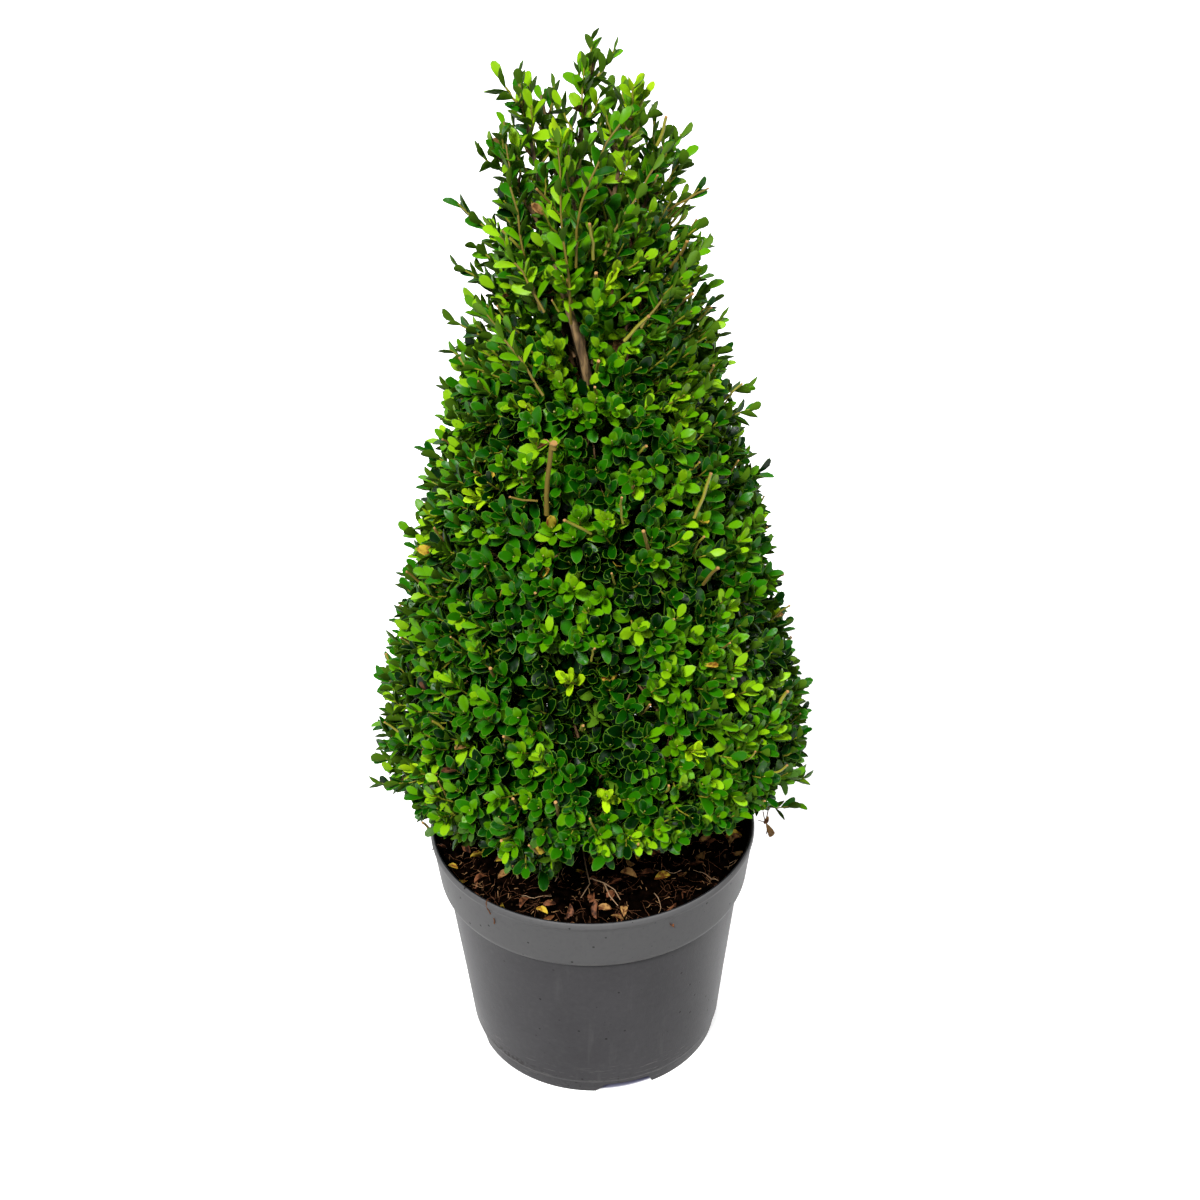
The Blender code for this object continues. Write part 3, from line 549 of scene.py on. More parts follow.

# %% [markdown]
# Each mask then lays its own colour over those before it, from the widest to the smallest. The
# collar is painted a paler grey than the body, painted light for the light from above that its
# upper part catches. Dust, the painted highlight under the collar and the scuffs also raise the
# roughness, and the specks and scratches stand in the bump as well as in the colour.

# %% Pot finish
base = mixed(board, clouds.between(0.30, 0.72), rgb(66, 65, 67), rgb(73, 72, 74))
pot_layers = (
    # Painted light: the collar is painted a paler grey, for the light from above that it catches.
    (height.between(0.150, 0.157) * 0.62, rgb(107, 107, 107)),
    (grain.between(0.50, 0.72) * 0.05, rgb(112, 111, 108)),
    ((1.0 - grain.between(0.30, 0.48)) * 0.07, rgb(34, 33, 32)),
    (scuffs * 0.12, rgb(122, 122, 121)),
    # The painted highlight under the collar.
    (collar_edge_highlight * 0.55, rgb(128, 127, 125)),
    (ledge_dust * 0.40, rgb(120, 118, 114)),
    (scratches * 0.50, rgb(126, 124, 120)),
    (debris * 0.8, rgb(18, 14, 11)),
    (speck * 0.8, rgb(22, 18, 15)),
    (earth * 0.85, rgb(26, 19, 14)),
)
for share, colour in pot_layers:
    base = mixed(board, share, base, colour)
board.plug(base, shader.inputs["Base Color"])
# The ledge's dust and the painted highlight under the collar raise the roughness together.
ledge_dust_and_collar_highlight = collar_edge_highlight + ledge_dust
board.plug(0.36 + clouds * 0.12 + scuffs * 0.10 + ledge_dust_and_collar_highlight * 0.12, shader.inputs["Roughness"])
bumped(board, shader, fine * 0.5 + clouds * 2.0 - speck * 0.6 - scratches * 0.4, 0.35, 0.0005)
print("pot finish:", 1 + len(pot_layers), "layers")

# %% [markdown]
# ## The soil
#
# Moist peat is a dark crumbly bed with a relief of a few millimetres. The bed is a disc of fine
# rings whose points are moved up and down by layered noise. The noise is ridged in places, where
# the bed shows broken fibres. Below the bed the disc closes on the pot's inside, so that the soil
# is one solid.

# %% Soil bed
SOIL_EDGE_Z, SOIL_TOP_Z = 0.1880, 0.1930
SOIL_RADIUS = 0.1240
SOIL_RINGS, SOIL_SEGMENTS = 74, 176
SOIL_BELOW = ((0.1212, 0.1640), (0.1150, 0.1500), (0.0995, 0.0124))


def soil_height(x, y):
    """The height of the soil's surface over a point of the pot's mouth."""
    radius = math.hypot(x, y)
    inward = max(0.0, 1.0 - radius / SOIL_RADIUS)
    dome = SOIL_EDGE_Z - 0.0022 + (SOIL_TOP_Z - SOIL_EDGE_Z) * inward**0.6
    at = Vector((x, y, 0.0))
    broad = 0.0034 * noise.noise(at * 26.0)
    crumbs = 0.0022 * noise.noise(at * 120.0 + UP * 3.0) + 0.0013 * noise.noise(at * 330.0 + UP * 7.0)
    ridges = 0.0018 * (1.0 - abs(noise.noise(at * 190.0 + UP * 11.0)) * 2.0)
    return dome + broad + crumbs + ridges


soil_points, soil_faces = [(0.0, 0.0, soil_height(0.0, 0.0))], []
for ring in range(1, SOIL_RINGS + 1):
    radius = SOIL_RADIUS * ring / SOIL_RINGS
    for k in range(SOIL_SEGMENTS):
        angle = 2.0 * math.pi * (k + 0.5 * (ring % 2)) / SOIL_SEGMENTS
        x, y = radius * math.cos(angle), radius * math.sin(angle)
        soil_points.append((x, y, soil_height(x, y)))
for radius, level in SOIL_BELOW:
    for k in range(SOIL_SEGMENTS):
        angle = 2.0 * math.pi * (k + 0.5 * (SOIL_RINGS % 2)) / SOIL_SEGMENTS
        soil_points.append((radius * math.cos(angle), radius * math.sin(angle), level))
for k in range(SOIL_SEGMENTS):
    after = (k + 1) % SOIL_SEGMENTS
    soil_faces.append((0, 1 + k, 1 + after))
    for ring in range(SOIL_RINGS + 2):
        low, high = 1 + ring * SOIL_SEGMENTS, 1 + (ring + 1) * SOIL_SEGMENTS
        soil_faces.append((low + k, high + k, high + after, low + after))
last = 1 + (SOIL_RINGS + 2) * SOIL_SEGMENTS
soil_faces.append(tuple(last + k for k in range(SOIL_SEGMENTS)))

peat = finish("moist_peat", (0.025, 0.012, 0.007), 0.95, Specular_IOR_Level=0.0)
soil = placed("soil_bed", mesh_from("soil_bed", soil_points, soil_faces), peat)
smooth(soil.data, 70.0)
print("soil faces:", len(soil.data.polygons))

# %% [markdown]
# Moist peat is dark brown on its lumps, with short paler fibres all through it. Between the lumps
# the colour is painted nearly black, as painted shade in the hollows of the bump. The fibres are
# noise that is stretched along one axis. The brown is this low because wet earth sends back only
# a few hundredths of the light, and it has no gloss.

# %% Peat finish
board, shader, place = board_of(peat)
lumps = scattered(board, place, 160.0, 6.0)
threads = scattered(board, place, 420.0, 4.0, (1.0, 0.25, 1.0))
patches = scattered(board, place, 30.0, 2.0)
# Between the lumps, where the bump sinks, the colour is painted near black: painted shade in the hollows.
base = mixed(board, lumps.between(0.44, 0.64), (0.0005, 0.0003, 0.0002), (0.0050, 0.0022, 0.0012))
base = mixed(board, threads.between(0.64, 0.71) * 0.8, base, (0.078, 0.042, 0.021))
base = mixed(board, patches.between(0.48, 0.64) * 0.8, base, (0.0016, 0.0008, 0.0005))
board.plug(base, shader.inputs["Base Color"])
bumped(board, shader, lumps * 1.4 + threads * 0.5, 0.9, 0.0015)
print("peat finish done")

# %% [markdown]
# ## Limbs
#
# The trunk is one smooth curve with a slight lean and a flared foot. Eight leaders leave it below
# the tip and rise into the loose crown. Both follow a rule, so functions give any point of them,
# and the branches further on ask the same functions where they start. A leader's foot stands a
# hair's breadth off the trunk, because the two are separate pieces.

# %% Curves of the trunk and the leaders
CLEARANCE = 0.0003
TRUNK_FOOT_RADIUS, TRUNK_TOP_RADIUS = 0.0095, 0.0036
FLARE_RADIUS, FLARE_HEIGHT = 0.0075, 0.0110
TRUNK_PATH = (
    (SOIL_TOP_Z + CLEARANCE, 0.0000, 0.0000),
    (0.2300, 0.0010, -0.0015),
    (0.3000, 0.0030, -0.0010),
    (0.3800, 0.0010, 0.0020),
    (0.4700, 0.0020, 0.0000),
    (0.5400, 0.0045, -0.0025),
    (0.5750, 0.0030, -0.0030),
    (0.6040, 0.0004, -0.0030),
)
LEADERS = (
    ("centre", None, (0.0115, 0.0000, 0.8050), -0.90),
    ("right", 0.5980, (0.0375, -0.0120, 0.7860), 0.30),
    ("far_right", 0.5740, (0.0610, 0.0090, 0.7480), 0.26),
    ("back_right", 0.5880, (0.0300, 0.0440, 0.7640), 0.34),
    ("back_left", 0.5700, (-0.0240, 0.0460, 0.7700), 0.26),
    ("left", 0.5700, (-0.0370, 0.0020, 0.7900), 0.50),
    ("far_left", 0.5960, (-0.0550, -0.0230, 0.7560), 0.10),
    ("front", 0.5700, (-0.0060, -0.0480, 0.7640), 0.28),
)
LEADER_RADIUS, LEADER_TIP_RADIUS, LEADER_BEND = 0.0020, 0.0010, 0.56


def trunk_at(height):
    x = between([(row[0], row[1]) for row in TRUNK_PATH], height)
    y = between([(row[0], row[2]) for row in TRUNK_PATH], height)
    return Vector((x, y, height))


def trunk_radius(height):
    foot, top = TRUNK_PATH[0][0], TRUNK_PATH[-1][0]
    share = (height - foot) / (top - foot)
    flare = FLARE_RADIUS * math.exp(-(height - foot) / FLARE_HEIGHT)
    return TRUNK_FOOT_RADIUS + (TRUNK_TOP_RADIUS - TRUNK_FOOT_RADIUS) * share**0.85 + flare


def leader_at(leader, share):
    """A point on a leader's curve, from its foot at 0 to its tip at 1."""
    _, height, tip, bend_share = leader
    if height is None:
        base = trunk_at(TRUNK_PATH[-1][0]) + UP * 2.0 * CLEARANCE
    else:
        base = trunk_at(height)
        aim = Vector((tip[0] - base.x, tip[1] - base.y, 0.0)).normalized()
        base = base + aim * (trunk_radius(height) + LEADER_RADIUS + 2.0 * CLEARANCE)
    tip = Vector(tip)
    bend = base.lerp(tip, bend_share)
    bend.z = base.z + LEADER_BEND * (tip.z - base.z)
    return base * (1 - share) ** 2 + bend * 2 * share * (1 - share) + tip * share**2


print("trunk length:", round(TRUNK_PATH[-1][0] - TRUNK_PATH[0][0], 3), "leaders:", len(LEADERS))

# %% [markdown]
# Young bark is a warm light brown with darker cracks and greenish grey patches. Its streaks and
# cracks run along the limb, so their noise is squeezed in Z.

# %% Bark
bark = finish("young_bark", rgb(110, 86, 58), 0.78)
board, shader, place = board_of(bark)
streaks = scattered(board, place, 330.0, 4.0, (1.0, 1.0, 0.16))
cracks = scattered(board, place, 700.0, 3.0, (1.0, 1.0, 0.10)).between(0.56, 0.70)
patches = scattered(board, place, 60.0, 2.0)
base = mixed(board, streaks.between(0.35, 0.65), rgb(90, 70, 46), rgb(164, 132, 90))
base = mixed(board, patches.between(0.50, 0.68) * 0.6, base, rgb(120, 112, 88))
base = mixed(board, cracks * 0.7, base, rgb(50, 37, 24))
board.plug(base, shader.inputs["Base Color"])
bumped(board, shader, streaks - cracks * 0.8, 0.8, 0.0005)
print("bark done")

# %% [markdown]
# Each limb is a tube of many rings. Every ring's points move in or out by noise that is stretched
# along the limb, which gives the long low ridges of young bark. Real relief shows at the outline,
# where a bump in the shader alone would leave it smooth. Four lobes swell the trunk's foot, where
# its roots begin.

# %% Trunk and leaders
TRUNK_SIDES, TRUNK_STEP, LEADER_SIDES, LEADER_STEPS, BARK_RELIEF = 24, 0.0022, 10, 60, 0.10


def barked_tube(path, radii, sides, relief, lobes=0.0):
    """The points and faces of a closed tube with bark relief, as a list that more can be added to."""
    points, faces = [], []
    for i, (centre, radius) in enumerate(zip(path, radii)):
        ahead, behind = path[min(i + 1, len(path) - 1)], path[max(i - 1, 0)]
        along = (ahead - behind).normalized()
        across = (X_AXIS - along * along.dot(X_AXIS)).normalized()
        side = along.cross(across)
        swell = lobes * math.exp(-(centre.z - path[0].z) / FLARE_HEIGHT)
        for k in range(sides):
            angle = 2.0 * math.pi * k / sides
            spoke = across * math.cos(angle) + side * math.sin(angle)
            at = centre + spoke * radius
            squeezed = Vector((at.x * 260.0, at.y * 260.0, at.z * 42.0))
            ridge = noise.noise(squeezed) + 0.5 * noise.noise(squeezed * 2.3)
            push = 1.0 + relief * ridge + swell * math.cos(4.0 * angle + 0.6)
            points.append(centre + spoke * radius * push)
    for i in range(len(path) - 1):
        for k in range(sides):
            after = (k + 1) % sides
            low, high = i * sides, (i + 1) * sides
            faces.append((low + k, low + after, high + after, high + k))
    faces.append(tuple(range(sides - 1, -1, -1)))
    faces.append(tuple(range((len(path) - 1) * sides, len(path) * sides)))
    return points, faces


trunk_heights = [TRUNK_PATH[0][0]]
while trunk_heights[-1] < TRUNK_PATH[-1][0]:
    trunk_heights.append(min(trunk_heights[-1] + TRUNK_STEP, TRUNK_PATH[-1][0]))
trunk_path = [trunk_at(level) for level in trunk_heights]
trunk_radii = [trunk_radius(level) for level in trunk_heights]
trunk_points, trunk_faces = barked_tube(trunk_path, trunk_radii, TRUNK_SIDES, BARK_RELIEF, 0.13)
for point in trunk_points[:TRUNK_SIDES]:
    point.z = TRUNK_PATH[0][0]
trunk = placed("trunk_with_bark", mesh_from("trunk_with_bark", trunk_points, trunk_faces), bark)
smooth(trunk.data, 60.0)

leader_points, leader_faces = [], []
for leader in LEADERS:
    shares = [k / LEADER_STEPS for k in range(LEADER_STEPS + 1)]
    radii = [LEADER_RADIUS + (LEADER_TIP_RADIUS - LEADER_RADIUS) * share for share in shares]
    path = [leader_at(leader, share) for share in shares]
    points, faces = barked_tube(path, radii, LEADER_SIDES, BARK_RELIEF)
    leader_faces += [tuple(len(leader_points) + k for k in face) for face in faces]
    leader_points += points
leaders = placed("leaders_with_bark", mesh_from("leaders_with_bark", leader_points, leader_faces), bark)
smooth(leaders.data, 60.0)
print("trunk faces:", len(trunk.data.polygons), "leader faces:", len(leaders.data.polygons))

# %% [markdown]
# ## One leaf
#
# A holly leaf of this kind is 12 to 17 mm long, about half as wide, round at its end and cupped
# like a spoon, with its midrib in a shallow fold. Its margin is a thin edge that is curled a
# little under, and its paler green is a painted highlight along the edge, which draws each leaf's
# outline against the dark behind it. The plant has some thirty thousand leaves, so one leaf has
# only 46 triangles: sixteen on top, where the fold and the cup show, twenty for the margin, and
# ten below. A simpler leaf without a margin serves deep inside, and one that is rolled up and
# bent down serves for the dead leaves on the soil. The margin and the lower faces are marked with
# attributes, and later get paler finishes: the underside its own paler green, and the margin its
# painted highlight.

# %% Leaf shapes
# Each shape is its name, (station, width) pairs along the leaf, the cup, the arch and the margin.
OUTER_LEAVES = (
    ("broad", ((0.14, 0.42), (0.40, 0.82), (0.68, 1.00), (0.90, 0.66)), 0.34, 0.05, 0.030),
    ("slim", ((0.17, 0.56), (0.42, 0.94), (0.66, 0.96), (0.88, 0.58)), 0.40, 0.16, 0.030),
    ("young", ((0.15, 0.46), (0.38, 0.84), (0.64, 1.00), (0.88, 0.66)), 0.46, -0.12, 0.030),
)
INNER_LEAF = ("inner", ((0.32, 0.84), (0.76, 0.92)), 0.25, 0.05, 0.0)
DRY_LEAF = ("dry", ((0.16, 0.44), (0.40, 0.82), (0.66, 0.92), (0.88, 0.54)), 0.95, 0.45, 0.030)
BROAD, SLIM, YOUNG, INNER, DRY = range(5)


def leaf_object(name, stations, cup, arch, margin):
    """A leaf of length 1 along Y and width 1 across X that faces +Z. arch bends its end down."""
    points = [(0.0, 0.0, 0.0)]
    for station, width in stations:
        half = 0.5 * width - margin
        rim, fold = cup * half, 0.10 * cup * half
        points += [(-half, station, rim), (0.0, station, fold), (half, station, rim)]
    points.append((0.0, 1.0 - margin, 0.12 * cup))
    end, steps = len(points) - 1, len(stations)
    faces = [(0, 2, 1), (0, 3, 2)]
    for k in range(steps - 1):
        left, rib, right = 1 + 3 * k, 2 + 3 * k, 3 + 3 * k
        faces += [(left, rib, left + 3), (rib, rib + 3, left + 3)]
        faces += [(rib, right, right + 3), (rib, right + 3, rib + 3)]
    faces += [(end - 3, end - 2, end), (end - 2, end - 1, end)]
    rim = [0] + [1 + 3 * k for k in range(steps)] + [end] + [3 + 3 * k for k in reversed(range(steps))]
    upper_count = len(faces)
    edge = rim
    if margin:
        edge = list(range(len(points), len(points) + len(rim)))
        for number in rim:
            x, y, z = points[number]
            out = Vector((x, (y - 0.55) * 0.6, 0.0)).normalized() * margin
            points.append((x + out.x, max(0.0, y + out.y), z - 0.55 * margin))
        for k in range(len(rim)):
            after = (k + 1) % len(rim)
            faces += [(rim[k], rim[after], edge[after]), (rim[k], edge[after], edge[k])]
    points.append((0.0, 0.55, -0.10))
    under, under_first = len(points) - 1, len(faces)
    faces += [(under, edge[k], edge[(k + 1) % len(edge)]) for k in range(len(edge))]
    points = [(x, y, z - arch * y * y) for x, y, z in points]
    mesh = mesh_from("leaf_" + name, points, faces)
    mesh.shade_smooth()
    edge_lines = {frozenset((edge[k], edge[(k + 1) % len(edge)])) for k in range(len(edge))}
    sharp = mesh.attributes.new("sharp_edge", "BOOLEAN", "EDGE")
    sharp.data.foreach_set("value", [frozenset(line.vertices) in edge_lines for line in mesh.edges])
    lower = mesh.attributes.new("lower", "BOOLEAN", "FACE")
    lower.data.foreach_set("value", [k >= under_first for k in range(len(mesh.polygons))])
    hem = mesh.attributes.new("hem", "BOOLEAN", "FACE")
    hem.data.foreach_set("value", [upper_count <= k < under_first for k in range(len(mesh.polygons))])
    return bpy.data.objects.new("leaf_" + name, mesh)


leaf_kinds = bpy.data.collections.new("leaf_kinds")
for order, shape in enumerate((*OUTER_LEAVES, INNER_LEAF, DRY_LEAF)):
    made = leaf_object(*shape)
    made.name = f"{order}_{made.name}"
    leaf_kinds.objects.link(made)

# %% [markdown]
# ## Leaf greens
#
# Every shoot has its own age, and on the outside a leaf's green tells it: lime when it unfolds,
# fresh for some weeks, then deeper and glossier. Deep inside the plant the darkest greens are
# dealt out whatever the age, as painted shade of the plant's inside. These are plain colours, one
# finish each, dealt out to whole shoots, because the spread of greens from shoot to shoot is what
# the eye sees on so small a leaf. The underside has a paler green of its own, and the margin a
# paler green that is a painted highlight. Leaves that die turn yellow, tan or brown in blotches,
# which is noise between two colours.

# %% Leaf finishes
GREENS = (
    ("leaf_deep", rgb(6, 38, 3), 0.34),
    ("leaf_shade", rgb(19, 74, 4), 0.34),
    ("leaf_mid", rgb(40, 104, 5), 0.34),
    ("leaf_bright", rgb(88, 148, 8), 0.36),
    ("leaf_fresh", rgb(132, 182, 20), 0.40),
    ("leaf_lime", rgb(166, 206, 26), 0.44),
    ("leaf_sage", rgb(72, 110, 42), 0.46),
    ("leaf_yellow", rgb(202, 172, 60), 0.50),
    ("leaf_brown", rgb(126, 80, 54), 0.60),
    ("leaf_tan", rgb(176, 134, 80), 0.62),
)
DEEP, SHADE, MID, BRIGHT, FRESH, LIME, SAGE, YELLOW, BROWN, TAN = range(10)
leaf_finishes = [finish(*green, Specular_IOR_Level=0.13) for green in GREENS]
leaf_under = finish("leaf_underside", rgb(80, 116, 26), 0.55, Specular_IOR_Level=0.14)
# The margin's paler green is a painted highlight along each leaf's edge.
painted_margin_highlight = finish("leaf_margin", rgb(78, 118, 26), 0.45, Specular_IOR_Level=0.17)
BLOTCHES = ((YELLOW, rgb(120, 70, 30)), (BROWN, rgb(46, 28, 18)), (TAN, rgb(92, 56, 34)))
for number, patch_colour in BLOTCHES:
    board, shader, place = board_of(leaf_finishes[number])
    blotches = scattered(board, place, 190.0, 3.0).between(0.42, 0.62)
    board.plug(mixed(board, blotches, GREENS[number][1], patch_colour), shader.inputs["Base Color"])
print("leaf finishes:", [material.name for material in leaf_finishes])

# %% [markdown]
# ## Leaves by Geometry Nodes
#
# The growth rule below only decides where each leaf is, how it is turned, how large it is, and
# which green it has. That is a cloud of points with attributes. A Geometry Nodes tree puts a leaf
# on each point: Instance on Points picks one of the five shapes, Realize Instances makes real
# faces of them all, and one Set Material for each green deals the finishes out by the attribute.
# Two more then give the green leaves their paler undersides and the painted highlight of their
# margins.

# %% Leaf tree
def attribute(board, name, kind):
    return board.add("GeometryNodeInputNamedAttribute", {"data_type": kind}, {"Name": name})


def new_tree(name, sockets):
    """A Geometry Nodes tree with a mesh in, a mesh out, and the named inputs."""
    tree = bpy.data.node_groups.new(name, "GeometryNodeTree")
    tree.interface.new_socket("Geometry", in_out="OUTPUT", socket_type="NodeSocketGeometry")
    tree.interface.new_socket("Geometry", in_out="INPUT", socket_type="NodeSocketGeometry")
    for label, kind in sockets:
        tree.interface.new_socket(label, in_out="INPUT", socket_type="NodeSocket" + kind)
    board = Board(tree)
    return board, board.add("NodeGroupInput")


board, given = new_tree("leaves_on_points", (("Leaf Kinds", "Collection"), ("Leaf Scale", "Float")))
kinds_inputs = {"Collection": given.out("Leaf Kinds"), "Separate Children": True, "Reset Children": True}
kinds = board.add("GeometryNodeCollectionInfo", None, kinds_inputs)
size = board.add(
    "ShaderNodeVectorMath",
    {"operation": "SCALE"},
    {0: attribute(board, "size", "FLOAT_VECTOR"), "Scale": given.out("Leaf Scale")},
)
leaves = board.add(
    "GeometryNodeInstanceOnPoints",
    None,
    {
        "Points": given.out("Geometry"),
        "Instance": kinds,
        "Pick Instance": True,
        "Instance Index": attribute(board, "kind", "INT"),
        "Rotation": attribute(board, "turn", "QUATERNION"),
        "Scale": size,
    },
)
leaves = board.add("GeometryNodeRealizeInstances", None, {"Geometry": leaves})
age = attribute(board, "age", "INT")
for number, material in enumerate(leaf_finishes):
    same = board.add("FunctionNodeCompare", {"data_type": "INT", "operation": "EQUAL"}, {2: age, 3: number})
    inputs = {"Geometry": leaves, "Selection": same, "Material": material}
    leaves = board.add("GeometryNodeSetMaterial", None, inputs)
green = board.add("FunctionNodeCompare", {"data_type": "INT", "operation": "LESS_THAN"}, {2: age, 3: LIME})
# The undersides get their own paler green, and the margins their painted highlight.
for label, material in (("lower", leaf_under), ("hem", painted_margin_highlight)):
    marked = attribute(board, label, "BOOLEAN")
    pale = board.add("FunctionNodeBooleanMath", {"operation": "AND"}, {0: marked, 1: green})
    inputs = {"Geometry": leaves, "Selection": pale, "Material": material}
    leaves = board.add("GeometryNodeSetMaterial", None, inputs)
board.add("NodeGroupOutput", None, {"Geometry": leaves})
leaf_tree = board.tree
print("leaf tree has", len(leaf_tree.nodes), "nodes")

# %% [markdown]
# A piece of foliage collects its leaves as rows, and only then becomes a mesh of points with
# attributes. Filling an attribute in one go with foreach_set is far quicker than setting it point
# by point. The modifier's result is copied as a plain mesh, and the source and its modifier go.

# %% Leaves of one piece
def grown(name, mesh, tree, values):
    """The plain mesh that a Geometry Nodes tree makes from a mesh, as a new object."""
    source = placed("source", mesh)
    modifier = source.modifiers.new("grow", "NODES")
    modifier.node_group = tree
    for item in tree.interface.items_tree:
        if item.name in values:
            modifier[item.identifier] = values[item.name]
    evaluated = source.evaluated_get(bpy.context.evaluated_depsgraph_get())
    made = bpy.data.meshes.new_from_object(evaluated)
    bpy.data.objects.remove(source)
    for extra in ("turn", "size", "kind", "age", "lower", "hem", "thickness"):
        if extra in made.attributes:
            made.attributes.remove(made.attributes[extra])
    made.name = name
    obj = bpy.data.objects.new(name, made)
    scene.collection.objects.link(obj)
    made.calc_loop_triangles()
    print(name, "triangles:", len(made.loop_triangles))
    return obj


class Leaves:
    """The leaves of one piece: where each is, how it is turned, its size, its shape and its age."""

    def __init__(self):
        self.rows = []

    def add(self, root, along, facing, length, width, kind, age):
        across = along.cross(facing).normalized()
        facing = across.cross(along).normalized()
        turn = Matrix((across, along, facing)).transposed().to_quaternion()
        self.rows.append((root, turn, (width, length, 0.5 * (width + length)), kind, age))

    def piece(self, name, tree=None, values=None):
        mesh = bpy.data.meshes.new(name)
        mesh.vertices.add(len(self.rows))
        mesh.vertices.foreach_set("co", np.array([row[0] for row in self.rows]).ravel())
        for label, kind, column in (("turn", "QUATERNION", 1), ("size", "FLOAT_VECTOR", 2)):
            data = mesh.attributes.new(label, kind, "POINT").data
            field = "value" if kind == "QUATERNION" else "vector"
            data.foreach_set(field, np.array([row[column] for row in self.rows]).ravel())
        for label, column in (("kind", 3), ("age", 4)):
            data = mesh.attributes.new(label, "INT", "POINT").data
            data.foreach_set("value", [row[column] for row in self.rows])
        return grown(name, mesh, tree or leaf_tree, values or {"Leaf Kinds": leaf_kinds, "Leaf Scale": 1.0})


print("leaves can be grown")

# %% [markdown]
# ## Twigs by Geometry Nodes
#
# A twig is a path with a thickness at each point. The tree turns the edges of a mesh into curves
# and sweeps a small ring along them, scaled by the thickness. The ring has few sides, because
# there are thousands of twigs and each is about a millimetre thick.

# %% Twig tree
board, given = new_tree("twigs_on_paths", (("Sides", "Int"), ("Bark", "Material")))
lines = board.add("GeometryNodeMeshToCurve", None, {"Mesh": given.out("Geometry")})
ring_inputs = {"Resolution": given.out("Sides"), "Radius": 1.0}
ring = board.add("GeometryNodeCurvePrimitiveCircle", None, ring_inputs)
thickness = attribute(board, "thickness", "FLOAT")
tube_inputs = {"Curve": lines, "Profile Curve": ring, "Scale": thickness, "Fill Caps": True}
tubes = board.add("GeometryNodeCurveToMesh", None, tube_inputs)
tubes = board.add("GeometryNodeSetShadeSmooth", None, {"Geometry": tubes, "Shade Smooth": True})
tubes = board.add("GeometryNodeRealizeInstances", None, {"Geometry": tubes})
tubes = board.add("GeometryNodeSetMaterial", None, {"Geometry": tubes, "Material": given.out("Bark")})
board.add("NodeGroupOutput", None, {"Geometry": tubes})
twig_tree = board.tree


class Twigs:
    """The twigs of one piece, each a path with its radii."""

    def __init__(self):
        self.points, self.radii, self.edges = [], [], []

    def add(self, path, first_radius, last_radius):
        start = len(self.points)
        for k, point in enumerate(path):
            self.points.append(tuple(point))
            self.radii.append(first_radius + (last_radius - first_radius) * k / (len(path) - 1))
        self.edges += [(start + k, start + k + 1) for k in range(len(path) - 1)]

    def piece(self, name, material, sides=4):
        mesh = bpy.data.meshes.new(name)
        mesh.from_pydata(self.points, self.edges, [])
        thickness = mesh.attributes.new("thickness", "FLOAT", "POINT")
        thickness.data.foreach_set("value", self.radii)
        return grown(name, mesh, twig_tree, {"Sides": sides, "Bark": material})


print("twig tree has", len(twig_tree.nodes), "nodes")

# %% [markdown]
# ## The space that the plant fills
#
# Shears left the plant inside one surface: a cone with a rounded skirt that leans a little as it
# rises. The outline gives its radius at each height. Everything grows inside it.

# %% Outline of the clipped cone
OUTLINE = (
    (0.206, 0.058),
    (0.216, 0.086),
    (0.232, 0.115),
    (0.252, 0.143),
    (0.278, 0.163),
    (0.310, 0.169),
    (0.400, 0.151),
    (0.500, 0.127),
    (0.600, 0.099),
    (0.700, 0.075),
    (0.760, 0.060),
    (0.800, 0.040),
    (0.822, 0.012),
)
SKIRT_SHIFT_X, TIP_SHIFT_X, SHIFT_Y = 0.0020, 0.0120, -0.0030
SKIRT_Z, TIP_Z = OUTLINE[0][0], OUTLINE[-1][0]


def axis_at(level):
    share = (level - SKIRT_Z) / (TIP_Z - SKIRT_Z)
    return Vector((SKIRT_SHIFT_X + (TIP_SHIFT_X - SKIRT_SHIFT_X) * share, SHIFT_Y, level))


def on_surface(azimuth, level):
    radius = between(OUTLINE, level)
    return axis_at(level) + Vector((radius * math.cos(azimuth), radius * math.sin(azimuth), 0.0))


def outward(azimuth, level):
    """The way that the clipped surface faces."""
    step = 0.006
    rise = (between(OUTLINE, level + step) - between(OUTLINE, level - step)) / (2.0 * step)
    return Vector((math.cos(azimuth), math.sin(azimuth), -rise)).normalized()


def surface_sites(spacing, dice, foot=SKIRT_Z, top=TIP_Z):
    """Evenly scattered places on the surface between two heights, as (azimuth, height) pairs."""
    sites, level = [], foot
    while level < top:
        radius = between(OUTLINE, level)
        count = max(3, round(2.0 * math.pi * radius / spacing))
        start = dice.uniform(0.0, 2.0 * math.pi)
        for k in range(count):
            azimuth = start + 2.0 * math.pi * (k + dice.uniform(-0.36, 0.36)) / count
            sites.append((azimuth, level + dice.uniform(-0.36, 0.36) * spacing))
        slope = abs(between(OUTLINE, level + 0.004) - between(OUTLINE, level - 0.004)) / 0.008
        level += spacing * 0.87 / math.hypot(1.0, slope)
    return [(azimuth, min(max(level, foot), top)) for azimuth, level in sites]


print("sites 18 mm apart:", len(surface_sites(0.018, random.Random(1))))

# %% [markdown]
# ## Curves for stems
#
# Every stem is a smooth curve of a few points, drawn from its foot to its tip with one pull between
# them. No stem is quite smooth, so the inner points are then moved by a fraction of a millimetre.

# %% Stem curves
def curve_of(first, pull, last, count):
    """Points on the smooth curve from the first to the last that is drawn towards the second."""
    shares = [k / (count - 1) for k in range(count)]
    return [first * (1 - t) ** 2 + pull * 2 * t * (1 - t) + last * t**2 for t in shares]


def any_way(dice, amount):
    return Vector([dice.uniform(-amount, amount) for _ in range(3)])


def wavered(path, dice, amount):
    """The path with its inner points moved a little, as no stem is quite smooth."""
    return [path[0]] + [point + any_way(dice, amount) for point in path[1:-1]] + [path[-1]]


